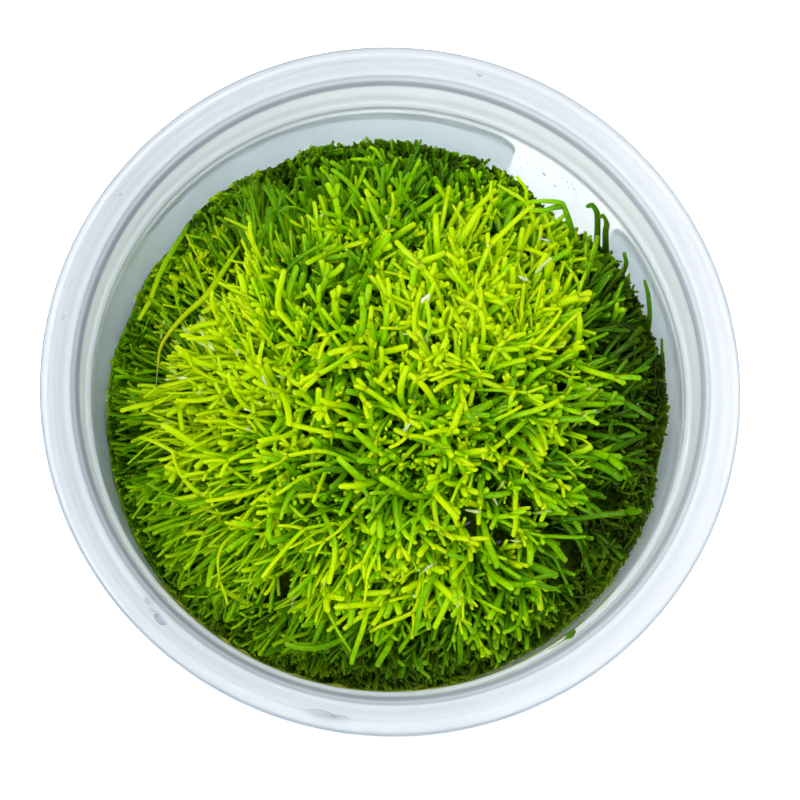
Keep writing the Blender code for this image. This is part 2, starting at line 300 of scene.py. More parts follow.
def stamped(shape: Surface, places: np.ndarray, frames: np.ndarray, sizes: np.ndarray) -> Surface:
    """Copies of a shape: copy n has the points c_n + F_n (s_n * p) for each point p of the shape.

    Args:
        shape: The shape that is copied.
        places: (n, 3) centres.
        frames: (n, 3, 3) matrices whose columns are the copy's own axes.
        sizes: (n, 3) sizes along those axes.

    Returns:
        One surface that holds all the copies.
    """
    points = np.einsum("nij,nkj->nki", frames, sizes[:, None] * shape.points[None]) + places[:, None]
    start = (np.arange(len(places)) * len(shape.points))[:, None, None]
    return Surface(
        points.reshape(-1, 3),
        (shape.quads + start).reshape(-1, 4),
        (shape.triangles + start).reshape(-1, 3),
    )


def beaded(shape: Surface, places: np.ndarray, radii: np.ndarray) -> Surface:
    """Upright copies of a unit shape at (n, 3) places, with (n,) radii."""
    frames = np.tile(np.eye(3), (len(places), 1, 1))
    return stamped(shape, places, frames, np.repeat(radii[:, None], 3, axis=1))


def frames_on(normals: np.ndarray, along: np.ndarray) -> np.ndarray:
    """Frames whose third axis is the normal and whose first axis is as near to along as it can be.

    Args:
        normals: (n, 3) unit normals.
        along: (n, 3) wished directions of the first axis.

    Returns:
        (n, 3, 3) matrices with the axes as columns.
    """
    first = unit(along - (along * normals).sum(-1, keepdims=True) * normals)
    return np.stack([first, np.cross(normals, first), normals], axis=-1)


def make_object(name: str, surface: Surface, material: bpy.types.Material) -> bpy.types.Object:
    """Puts a surface into the scene as a smooth mesh object at the origin.

    Args:
        name: Name of the object and its mesh.
        surface: Its points and faces, in millimetres.
        material: Its finish.

    Returns:
        The object.
    """
    mesh = bpy.data.meshes.new(name)
    corners = np.concatenate([surface.quads.ravel(), surface.triangles.ravel()]).astype(np.int32)
    starts = np.concatenate(
        [np.arange(len(surface.quads)) * 4, 4 * len(surface.quads) + np.arange(len(surface.triangles)) * 3]
    ).astype(np.int32)
    mesh.vertices.add(len(surface.points))
    mesh.vertices.foreach_set("co", (surface.points * MM).astype(np.float32).ravel())
    mesh.loops.add(len(corners))
    mesh.loops.foreach_set("vertex_index", corners)
    mesh.polygons.add(len(starts))
    mesh.polygons.foreach_set("loop_start", starts)
    mesh.update(calc_edges=True)
    if surface.growth is not None:
        layer = mesh.color_attributes.new("growth", "FLOAT_COLOR", "POINT")
        values = np.concatenate([surface.growth, np.ones((len(surface.growth), 1))], axis=1)
        layer.data.foreach_set("color", values.astype(np.float32).ravel())
    mesh.validate()
    mesh.shade_smooth()
    mesh.materials.append(material)
    obj = bpy.data.objects.new(name, mesh)
    bpy.context.scene.collection.objects.link(obj)
    return obj


def settle(obj: bpy.types.Object, slot: str, *nodes: str) -> bpy.types.Object:
    """Rides a piece on the cup's body and lets it stand for solids.

    Args:
        obj: The piece.
        slot: Not used.
        nodes: The solids that it stands for.

    Returns:
        The same piece.
    """
    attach(obj, "root")
    if nodes:
        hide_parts(*nodes)
    LOG.info("%s: %d faces", obj.name, len(obj.data.polygons))
    return obj


# Finishes


@dataclass
class NodeTable:
    """A material's nodes, with short ways to add and link them.

    Args:
        name: Name of the material.
    """

    name: str
    material: bpy.types.Material = field(init=False)
    shader: bpy.types.Node = field(init=False)

    def __post_init__(self) -> None:
        """Makes the material with its Principled shader."""
        self.material = bpy.data.materials.new(self.name)
        self.material.use_nodes = True
        self.shader = self.material.node_tree.nodes["Principled BSDF"]

    def add(self, kind: str, **values: object) -> bpy.types.Node:
        """A new node of a kind, with its properties set."""
        node = self.material.node_tree.nodes.new(kind)
        for key, value in values.items():
            setattr(node, key, value)
        return node

    def link(self, source: bpy.types.NodeSocket, target: bpy.types.NodeSocket) -> None:
        """Links one socket to another."""
        self.material.node_tree.links.new(source, target)

    def plain(self, **values: object) -> None:
        """Sets plain numbers and colours on the shader's sockets, by names with _ for a space."""
        for key, value in values.items():
            socket = self.shader.inputs[key.replace("_", " ")]
            socket.default_value = (*value, 1.0) if socket.type == "RGBA" else value

    def math(
        self, operation: str, first: object, second: object = 0.0, clamp: bool = False
    ) -> bpy.types.NodeSocket:
        """Result of one sum, whose terms are sockets or numbers."""
        node = self.add("ShaderNodeMath", operation=operation, use_clamp=clamp)
        for place, term in enumerate((first, second)):
            if isinstance(term, bpy.types.NodeSocket):
                self.link(term, node.inputs[place])
            else:
                node.inputs[place].default_value = term
        return node.outputs[0]

    def noise(self, scale: float, detail: float = 3.0, rough: float = 0.5) -> bpy.types.NodeSocket:
        """Noise on Object coordinates, of so many lumps to a metre."""
        where = self.add("ShaderNodeTexCoord")
        node = self.add("ShaderNodeTexNoise")
        node.inputs["Scale"].default_value = scale
        node.inputs["Detail"].default_value = detail
        node.inputs["Roughness"].default_value = rough
        self.link(where.outputs["Object"], node.inputs["Vector"])
        return node.outputs["Fac"]

    def growth(self) -> tuple[bpy.types.NodeSocket, bpy.types.NodeSocket, bpy.types.NodeSocket]:
        """The three values that the mesh carries."""
        node = self.add("ShaderNodeAttribute", attribute_name="growth")
        split = self.add("ShaderNodeSeparateColor")
        self.link(node.outputs["Color"], split.inputs[0])
        return split.outputs[0], split.outputs[1], split.outputs[2]

    def ramp(self, value: bpy.types.NodeSocket, stops: Stops) -> bpy.types.NodeSocket:
        """Colour of a value between stops."""
        node = self.add("ShaderNodeValToRGB")
        band = node.color_ramp
        while len(band.elements) < len(stops):
            band.elements.new(0.5)
        for element, (place, colour) in zip(band.elements, stops):
            element.position = place
            element.color = (*colour, 1.0)
        self.link(value, node.inputs[0])
        return node.outputs[0]

    def blend(
        self, share: bpy.types.NodeSocket, first: bpy.types.NodeSocket, second: bpy.types.NodeSocket
    ) -> bpy.types.NodeSocket:
        """A colour that goes from the first to the second by a share."""
        node = self.add("ShaderNodeMix", data_type="RGBA")
        self.link(share, node.inputs[0])
        self.link(first, node.inputs[6])
        self.link(second, node.inputs[7])
        return node.outputs[2]

    def tint(self, colour: bpy.types.NodeSocket) -> None:
        """Gives the shader its base colour."""
        self.link(colour, self.shader.inputs["Base Color"])

    def bump(self, height: bpy.types.NodeSocket, strength: float, distance: float) -> None:
        """Relief on the shader's normal, with its depth in millimetres."""
        node = self.add("ShaderNodeBump")
        node.inputs["Strength"].default_value = strength
        node.inputs["Distance"].default_value = distance * MM
        self.link(height, node.inputs["Height"])
        self.link(node.outputs[0], self.shader.inputs["Normal"])


@dataclass(frozen=True)
class MilkyPlastic:
    """Translucent moulded plastic: white with a breath of blue, with painted shade at its edges, clearer in
    the wall.
    """

    clear: Colour = (0.95, 0.965, 0.985)
    # colour of the painted shade in the groove and in the thin lines at the edges
    deep: Colour = (0.12, 0.19, 0.25)
    roughness: float = 0.32
    milky_pass: float = 0.25
    clear_pass: float = 0.55
    scatter: float = 0.9

    def material(self) -> bpy.types.Material:
        """The finish, which reads the tone and the clearness that the turned profile carries."""
        table = NodeTable("milky_plastic")
        tone, clearness, _ = table.growth()
        cloud = table.math("MULTIPLY", table.noise(60.0, 1.0), 0.06)
        shade = table.math("ADD", tone, table.math("SUBTRACT", cloud, 0.03), clamp=True)
        table.tint(table.ramp(shade, ((0.0, self.clear), (1.0, self.deep))))
        through = table.math("MULTIPLY", clearness, self.clear_pass)
        table.link(table.math("ADD", through, self.milky_pass), table.shader.inputs["Transmission Weight"])
        inside = table.math("MULTIPLY", table.math("SUBTRACT", 1.0, shade, clamp=True), self.scatter)
        table.link(inside, table.shader.inputs["Subsurface Weight"])
        table.plain(Roughness=self.roughness, IOR=1.2)
        table.plain(Subsurface_Radius=(1.0, 1.0, 1.0), Subsurface_Scale=0.0012)
        table.bump(table.noise(900.0, 0.0), 0.12, 0.02)
        return table.material


@dataclass(frozen=True)
class LabelFilm:
    """Blank white film, thin enough to let light through, with the faint grain of its coating."""

    face: Colour = (0.91, 0.99, 1.0)
    grain: Colour = (0.88, 0.97, 0.99)

    def material(self) -> bpy.types.Material:
        """The finish."""
        table = NodeTable("label_film")
        speck = table.noise(2600.0, 1.0)
        table.tint(table.ramp(speck, ((0.35, self.grain), (0.65, self.face))))
        table.plain(Roughness=0.5, IOR=1.12, Transmission_Weight=0.88)
        table.plain(Subsurface_Weight=1.0, Subsurface_Radius=(1.0, 1.0, 1.0), Subsurface_Scale=0.0012)
        table.bump(speck, 0.25, 0.01)
        return table.material


@dataclass(frozen=True)
class ClearJelly:
    """Nutrient gel: clear, wet and a little olive."""

    tint: Colour = (0.72, 0.78, 0.45)

    def material(self) -> bpy.types.Material:
        """The finish."""
        table = NodeTable("nutrient_gel")
        cloud = table.noise(220.0, 3.0)
        pale = tuple(0.55 + 0.45 * part for part in self.tint)
        table.tint(table.ramp(cloud, ((0.3, self.tint), (0.7, pale))))
        table.plain(Roughness=0.06, IOR=1.34, Transmission_Weight=0.92)
        table.bump(cloud, 0.2, 0.2)
        return table.material


@dataclass(frozen=True)
class WaterFinish:
    """Plain clear water."""

    tint: Colour = (0.98, 1.0, 1.0)

    def material(self) -> bpy.types.Material:
        """The finish."""
        table = NodeTable(f"water_{round(100 * self.tint[0])}")
        table.plain(Base_Color=self.tint, Roughness=0.02, IOR=1.36, Transmission_Weight=1.0)
        return table.material


@dataclass(frozen=True)
class PaintedGleamFinish:
    """Water in thin films and small drops, painted pale green to white as highlights."""

    stops: Stops = (
        (0.0, (0.50, 0.80, 0.01)),
        (0.4, (0.76, 0.98, 0.20)),
        (0.7, (0.92, 1.0, 0.62)),
        (0.9, (1.0, 1.0, 1.0)),
    )

    def material(self) -> bpy.types.Material:
        """The finish, which reads how white a point's painted highlight is."""
        table = NodeTable("water_painted_gleam")
        painted_highlight, _, _ = table.growth()
        patch = table.math("MULTIPLY", table.math("SUBTRACT", table.noise(900.0, 2.0), 0.5), 0.7)
        lit = table.math("ADD", painted_highlight, patch, clamp=True)
        table.tint(table.ramp(lit, self.stops))
        table.plain(Roughness=0.12, IOR=1.36, Specular_IOR_Level=0.8)
        table.plain(Subsurface_Weight=0.8, Subsurface_Radius=(0.8, 1.0, 0.5), Subsurface_Scale=0.0006)
        return table.material


@dataclass(frozen=True)
class FringeFinish:
    """The thin wet line along the near wall, olive as a painted reflection of the plants' green in the
    plastic.
    """

    stops: Stops = ((0.35, (0.16, 0.20, 0.002)), (0.6, (0.42, 0.44, 0.02)))

    def material(self) -> bpy.types.Material:
        """The finish."""
        table = NodeTable("wet_fringe")
        table.tint(table.ramp(table.noise(260.0, 3.0), self.stops))
        table.plain(Roughness=0.08, IOR=1.36, Transmission_Weight=0.3)
        return table.material


class Age(Enum):
    """How old a thallus is, which sets its greens."""

    YOUNG = "young"
    GROWN = "grown"
    OLD = "old"
    FADED = "faded"
    SODDEN = "sodden"


@dataclass(frozen=True)
class ThallusSkin:
    """Skin of a thallus: deep green in age and in painted shade low down, yellow-green where young and in
    painted light.
    """

    age: Age
    stops: Stops = (
        (0.0, (0.024, 0.058, 0.000)),
        (0.25, (0.042, 0.130, 0.000)),
        (0.5, (0.100, 0.300, 0.000)),
        (0.7, (0.225, 0.53, 0.000)),
        (0.86, (0.40, 0.76, 0.000)),
        (1.0, (0.62, 0.91, 0.001)),
    )
    sodden: Stops = (
        (0.0, (0.018, 0.036, 0.000)),
        (0.35, (0.045, 0.115, 0.001)),
        (0.7, (0.120, 0.270, 0.001)),
        (1.0, (0.260, 0.470, 0.003)),
    )
    faded: Stops = (
        (0.0, (0.46, 0.76, 0.000)),
        (0.4, (0.62, 0.82, 0.000)),
        (0.72, (0.72, 0.68, 0.002)),
        (0.86, (0.72, 0.68, 0.030)),
        (0.95, (0.80, 0.88, 0.400)),
    )

    def material(self) -> bpy.types.Material:
        """The finish, which reads a point's tone with painted light and shade, and how far along the thallus
        it lies.
        """
        table = NodeTable("thallus_" + self.age.value)
        tone_and_shade, along, _ = table.growth()
        cells = table.noise(1400.0, 1.0)
        grain = table.math("MULTIPLY", table.math("SUBTRACT", cells, 0.5), 0.24)
        # Apart from faded thalli, a point is darker towards the root and brighter towards the tip, partly for
        # its age and partly as painted shade.
        place = along if self.age is Age.FADED else table.math(
            "MULTIPLY", tone_and_shade, table.math("ADD", table.math("MULTIPLY", along, 0.48), 0.6)
        )
        lit = table.math("ADD", place, grain, clamp=True)
        stops = {Age.FADED: self.faded, Age.SODDEN: self.sodden}.get(self.age, self.stops)
        table.tint(table.ramp(lit, stops))
        table.plain(Roughness=0.28, IOR=1.38, Specular_IOR_Level=0.12)
        table.plain(Subsurface_Weight=0.7, Subsurface_Radius=(1.0, 0.95, 0.08), Subsurface_Scale=0.0009)
        return table.material


@dataclass(frozen=True)
class MatSkin:
    """The matted old growth under the tips, with the painted light and shade of what grows on it, and brown
    in dark places.
    """

    stops: Stops = (
        (0.0, (0.024, 0.060, 0.000)),
        (0.15, (0.034, 0.110, 0.000)),
        (0.4, (0.060, 0.200, 0.000)),
        (0.7, (0.130, 0.370, 0.000)),
        (1.0, (0.240, 0.480, 0.000)),
    )
    sodden: Colour = (0.17, 0.25, 0.006)

    def material(self) -> bpy.types.Material:
        """The finish, which reads the mat's tone with its painted light and shade, and how sodden and brown
        it is.
        """
        table = NodeTable("riccia_mat")
        tone_and_shade, brown, _ = table.growth()
        lumps = table.noise(380.0, 3.0, 0.6)
        # painted shade: darker in the lumps' hollows, brighter on their tops
        lump_shade = table.math("MULTIPLY", table.math("SUBTRACT", lumps, 0.5), 1.2)
        lit = table.math("ADD", tone_and_shade, lump_shade, clamp=True)
        # the brown moss too is darker in the lumps' hollows, as painted shade
        moss = table.ramp(lumps, ((0.35, tuple(0.35 * part for part in self.sodden)), (0.6, self.sodden)))
        table.tint(table.blend(brown, table.ramp(lit, self.stops), moss))
        table.plain(Roughness=0.3, IOR=1.38, Specular_IOR_Level=0.12)
        table.bump(lumps, 0.9, 1.2)
        return table.material


# The cup


@dataclass
class CupShell:
    """The moulded cup: foot ring, floor, tapered wall, ledge, collar and rim, as one turned shell."""

    height: float = 55.0
    rim_radius: float = 50.0
    rim_inner: float = 45.6
    collar_top: float = 44.3
    collar_foot: float = 43.5
    ledge_radius: float = 42.9
    ledge_depth: float = 7.6
    wall: float = 1.05
    floor_radius: float = 38.2
    floor_top: float = 1.7
    skirt: float = 5.0
    rim_side_shade: float = 0.11
    milky_tone: float = 0.12
    wall_painted_light: float = 0.26
    pale_from: float = 38.0
    clear_from: float = 46.1
    clear_over: float = 0.8
    collar_band: tuple[float, float] = (47.6, 53.4)
    steps: int = 288

    def inside(self, z: np.ndarray | float) -> np.ndarray | float:
        """Radius of the wall's inner face at a height, on a straight line from floor to ledge."""
        high = self.height - self.ledge_depth
        widening = (self.ledge_radius - self.floor_radius) * (z - self.floor_top)
        return self.floor_radius + widening / (high - self.floor_top)

    def outside(self, z: np.ndarray | float) -> np.ndarray | float:
        """Radius of the wall's outer face at a height."""
        return self.inside(z) + self.wall

    def profile(self) -> np.ndarray:
        """Section as radius, height and tone: from the middle underneath, up outside and down inside.

        The tone is painted shade: deep in the narrow ring between collar and rim, and in thin dark lines at
        the edges.
        """
        top = self.height
        under = top - 1.1
        foot = self.outside(0.0) - 0.4
        ledge = top - self.ledge_depth
        collar_out = self.collar_top + self.wall
        corners = [
            (0.0, 0.7, 0.0),
            (foot - 2.1, 0.7, 0.0),
            (foot - 1.6, 0.0, 0.0),
            (foot, 0.0, 0.0),
            (self.outside(1.2), 1.2, 0.0),
            (self.outside(24.0), 24.0, 0.0),
            (self.outside(44.6), 44.6, 0.0),
            (self.outside(45.5), 45.5, 0.0),
            (self.outside(ledge - 1.05), ledge - 1.05, 0.0),
            (self.collar_foot + self.wall, ledge - 0.5, 0.1),
            (collar_out, under - 0.6, 0.1),
            (collar_out + 0.4, under, 0.3),
            (self.rim_radius - 1.1, under, 0.0),
            (self.rim_radius - 1.1, top - self.skirt, 0.0),
            (self.rim_radius, top - self.skirt, 0.2),
            # painted shade: a thin dark line round the rim's outer edge
            (self.rim_radius, top - 0.9, 0.5),
            (self.rim_radius - 0.1, top - 0.34, 0.75),
            (self.rim_radius - 0.34, top - 0.08, 0.45),
            (self.rim_radius - 0.6, top - 0.01, 0.12),
            (self.rim_radius - 1.0, top, 0.06),
            (self.rim_radius - 1.9, top, 0.1),
            (self.rim_radius - 2.15, top - 0.12, 0.15),
            (self.rim_radius - 2.5, top - 0.18, 0.13),
            (self.rim_radius - 2.9, top - 0.2, 0.2),
            (self.rim_radius - 3.3, top - 0.2, 0.19),
            (self.rim_inner + 0.85, top - 0.14, 0.13),
            (self.rim_inner + 0.5, top, 0.09),
            (self.rim_inner + 0.1, top, 0.12),
            # painted shade: the dark ring in the groove between rim and collar
            (self.rim_inner - 0.1, top - 0.12, 0.42),
            (self.collar_top + 0.8, top - 0.45, 0.16),
            (self.collar_top + 0.5, top - 0.75, 0.6),
            (self.collar_top + 0.08, top - 1.15, 0.62),
            (self.collar_top, top - 1.4, 0.12),
            (self.collar_top - 0.1, top - 2.2, 0.0),
            (self.collar_foot + 0.35, ledge + 3.1, 0.03),
            (self.collar_foot + 0.3, ledge + 2.7, 0.1),
            (self.collar_foot, ledge + 0.25, 0.0),
            (self.ledge_radius + 0.08, ledge + 0.04, 0.1),
            # painted shade: a thin dark line at the ledge
            (self.ledge_radius - 0.05, ledge - 0.15, 0.55),
            (self.inside(ledge - 0.7), ledge - 0.7, 0.5),
            (self.inside(ledge - 1.3), ledge - 1.3, 0.16),
            (self.inside(45.5), 45.5, 0.3),
            (self.inside(44.6), 44.6, 0.43),
            (self.inside(24.0), 24.0, 0.41),
            (self.inside(4.2), 4.2, 0.1),
            (self.inside(4.2) - 0.7, 2.4, 0.0),
            (self.floor_radius - 2.3, self.floor_top, 0.0),
            (0.0, self.floor_top, 0.0),
        ]
        return rounded(np.array(corners), 0.5)

    def build(self) -> bpy.types.Object:
        """Makes the cup and dresses it.

        The rim's tone, down to a millimetre below the top, changes along X: painted shade makes it deeper by
        the side shade at -X, and painted light makes it paler by as much at +X. The wall grows clear a little
        below the ledge, and is deeper by the milky tone where it isn't clear. The collar is half clear, less
        0.35 times the cosine of the azimuth from -35 degrees. The upper wall is paler, as painted light, by
        the wall's painted light times the fourth power of the cosine of the azimuth from -42 degrees.
        """
        shell = turned(self.profile(), self.steps)
        x, y, z = shell.points.T
        rim = z > self.height - 1.0
        tone = shell.growth[:, 0]
        # painted shade on the rim towards -X, painted light towards +X
        tone[rim] = np.clip(tone[rim] - self.rim_side_shade * x[rim] / self.rim_radius, 0.0, 1.0)
        collar = (z > self.collar_band[0]) & (z < self.collar_band[1])
        clearness = np.clip((self.clear_from - z) / self.clear_over, 0.0, 1.0)
        tone[:] = np.clip(tone + self.milky_tone * (1.0 - clearness), 0.0, 1.0)
        side = np.arctan2(y, x) + math.radians(35.0)
        near = np.clip(np.cos(side + math.radians(7.0)), 0.0, 1.0) ** 4
        wall = (z > self.pale_from) & (z < self.height - self.ledge_depth)
        # painted light on the upper wall round azimuth -42 degrees
        tone[:] = np.clip(tone - self.wall_painted_light * near * wall, 0.0, 1.0)
        shell.growth[:, 1] = clearness + (0.5 - 0.35 * np.clip(np.cos(side), 0.0, 1.0)) * collar
        cup = make_object("cup_shell", shell, MilkyPlastic().material())
        return settle(cup, "cup_plastic", "cup")


@dataclass
class WrapLabel:
    """The blank label, which follows the wall and leaves a gap between its round-cornered ends."""

    cup: CupShell
    low: float = 9.0
    high: float = 43.5
    corner: float = 3.5
    gap_angle: float = math.radians(51.0)
    gap_width: float = 18.5
    thickness: float = 0.12
    stand_off: float = 0.04

    def build(self) -> bpy.types.Object:
        """Makes the label as a grid whose columns run up the wall.

        Column u lies at distance s from the nearer end. Within the corner radius c of it, the
        column is shorter at both ends by c - sqrt(c^2 - (c - s)^2), which rounds the corners.
        """
        middle = self.cup.outside((self.low + self.high) / 2)
        span = TAU * middle - self.gap_width
        near = self.corner * (1 - np.cos(np.linspace(0.0, math.pi / 2, 9)))
        s = np.concatenate([near, np.linspace(self.corner, span - self.corner, 200)[1:-1], span - near[::-1]])
        edge = np.clip(self.corner - np.minimum(s, span - s), 0.0, None)
        inset = self.corner - np.sqrt(np.clip(self.corner**2 - edge**2, 0.0, None))
        v = np.linspace(0.0, 1.0, 12)
        z = (self.low + inset)[:, None] + (self.high - self.low - 2 * inset)[:, None] * v
        angle = (self.gap_angle + (self.gap_width / 2 + s) / middle)[:, None]
        layers = []
        for off in (self.stand_off, self.stand_off + self.thickness):
            layers.append(polar(self.cup.outside(z) + off, angle, z))
        columns, rows = z.shape
        points = np.concatenate([layer.reshape(-1, 3) for layer in layers])
        i, j = np.meshgrid(np.arange(columns - 1), np.arange(rows - 1), indexing="ij")
        at = i * rows + j
        face = np.stack([at, at + rows, at + rows + 1, at + 1], axis=-1).reshape(-1, 4)
        size = columns * rows
        edge_loop = np.concatenate(
            [
                np.arange(columns) * rows,
                (columns - 1) * rows + np.arange(1, rows),
                np.arange(columns - 2, -1, -1) * rows + rows - 1,
                np.arange(rows - 2, 0, -1),
            ]
        )
        after = np.roll(edge_loop, -1)
        rim = np.stack([edge_loop, after, after + size, edge_loop + size], axis=-1)
        surface = Surface(points, np.concatenate([face[:, ::-1], face + size, rim]), np.zeros((0, 3), int))
        return settle(make_object("wrap_label", surface, LabelFilm().material()), "label_film", "label")


@dataclass
class GelBed:
    """The nutrient gel, whose top edge climbs the wall a little."""

    cup: CupShell
    top: float = 9.4
    climb: float = 0.5
    clearance: float = 0.12

    def build(self) -> bpy.types.Object:
        """Makes the gel: a turned section whose top is level, and rises as the eighth power of its radius."""
        share = np.linspace(1.0, 0.0, 14)
        reach = self.cup.inside(self.top) - self.clearance
        crown = np.stack([reach * share, self.top - self.climb * 0.2 + self.climb * share**8], axis=-1)
        low = np.array([(0.0, 1.9), (35.4, 1.9), (37.4, 3.0), (self.cup.inside(4.4) - self.clearance, 4.4)])
        section = np.concatenate([low, crown])
        gel = make_object("gel_bed", turned(rounded(section, 0.4), 128), ClearJelly().material())
        return settle(gel, "gel", "nutrient_gel")


# The riccia


# How bright the growth is, lobe by lobe: place, size and gain. The lobes are partly the growth's own tone and
# partly painted light and shade. The bright lobes, painted light, lie left, centre right and front, and the
# dark ones, painted shade, lie along the far side, the right edge and the wall. They were tuned region by
# region against the photograph.
BRIGHTNESS: Lobes = (
    (-24.0, 4.0, 14.0, 0.38), (9.0, 15.0, 12.0, 0.27), (24.0, 18.0, 8.0, 0.18), (4.0, 3.0, 12.0, 0.12),
    (-13.0, -27.0, 8.0, 0.06), (2.0, -26.0, 8.0, 0.24), (14.0, -13.0, 8.0, 0.12), (-26.0, -14.0, 10.0, 0.13),
    (-8.0, 24.0, 7.0, 0.10), (27.0, -8.0, 6.0, 0.20), (30.0, 6.0, 5.0, 0.34), (13.0, 28.0, 5.0, 0.20),
    (-36.0, 14.0, 7.0, -0.10), (-10.0, 36.0, 12.0, -0.24), (-28.0, 27.0, 8.0, -0.06),
    (12.0, 37.0, 8.0, -0.22), (39.0, 4.0, 11.0, -0.56), (34.0, 17.5, 4.5, -0.36), (38.0, -6.0, 6.0, -0.18),
    (33.0, -22.0, 11.0, -0.40), (24.0, -31.0, 8.0, -0.12), (4.0, -38.0, 10.0, -0.26),
    (-10.0, -37.0, 5.0, -0.22), (-38.0, -9.0, 6.0, -0.22), (-24.0, -31.0, 7.0, -0.14),
    (-16.0, 19.0, 6.0, -0.18), (-6.0, 17.0, 6.0, -0.16), (-14.0, -15.0, 6.0, -0.13),
    (-10.0, -7.0, 7.0, -0.09), (-4.0, 1.0, 5.0, -0.15), (1.5, -15.5, 6.0, -0.25), (24.0, -19.0, 6.0, 0.18),
    (-18.0, 25.0, 4.0, 0.08), (-12.0, 19.0, 4.0, -0.08), (-8.0, -15.0, 4.0, 0.08), (-6.0, 30.0, 4.0, 0.08),
    (32.0, 11.0, 4.0, 0.11), (-22.0, -17.0, 4.0, 0.09), (9.0, -23.0, 4.0, 0.09), (7.0, -35.0, 4.0, 0.08),
    (-38.5, 3.0, 4.0, -0.15), (-6.0, -10.0, 4.0, -0.10), (23.0, 4.0, 4.0, 0.10), (7.0, 28.0, 4.0, 0.08),
    (37.5, 9.0, 4.0, -0.18), (-16.0, -35.0, 4.0, -0.10), (21.0, -33.0, 4.0, -0.10), (-33.0, 23.0, 4.0, 0.10),
    (-32.0, 4.0, 4.0, 0.08), (-8.0, -31.0, 4.0, 0.11), (-6.0, -37.0, 4.0, -0.10), (0.0, -22.0, 4.0, -0.15),
    (3.0, -8.0, 4.0, 0.09), (-14.0, -23.0, 4.0, -0.09), (-16.0, -27.0, 4.0, 0.09), (4.0, 35.0, 5.0, -0.26),
    (-34.0, -15.0, 4.0, -0.13), (13.0, -19.5, 4.0, 0.19), (-29.0, 13.0, 7.0, 0.36), (21.0, 28.0, 4.0, 0.12),
    (13.0, -33.0, 4.0, 0.10), (34.0, 11.0, 4.0, -0.18), (-32.0, -21.0, 4.0, -0.16), (38.0, 2.0, 4.0, 0.15),
    (-38.0, 0.0, 4.0, -0.15), (-23.0, 22.0, 5.0, 0.28), (-13.0, -1.0, 5.0, 0.20), (35.0, -18.0, 4.0, -0.20),
    (15.0, -2.5, 6.5, -0.20), (-2.0, -39.0, 4.0, -0.18), (-30.0, -4.0, 4.0, 0.14), (-22.0, -9.0, 4.0, -0.14),
    (-18.0, 34.0, 4.0, -0.12), (14.5, -26.0, 4.0, -0.12),
)


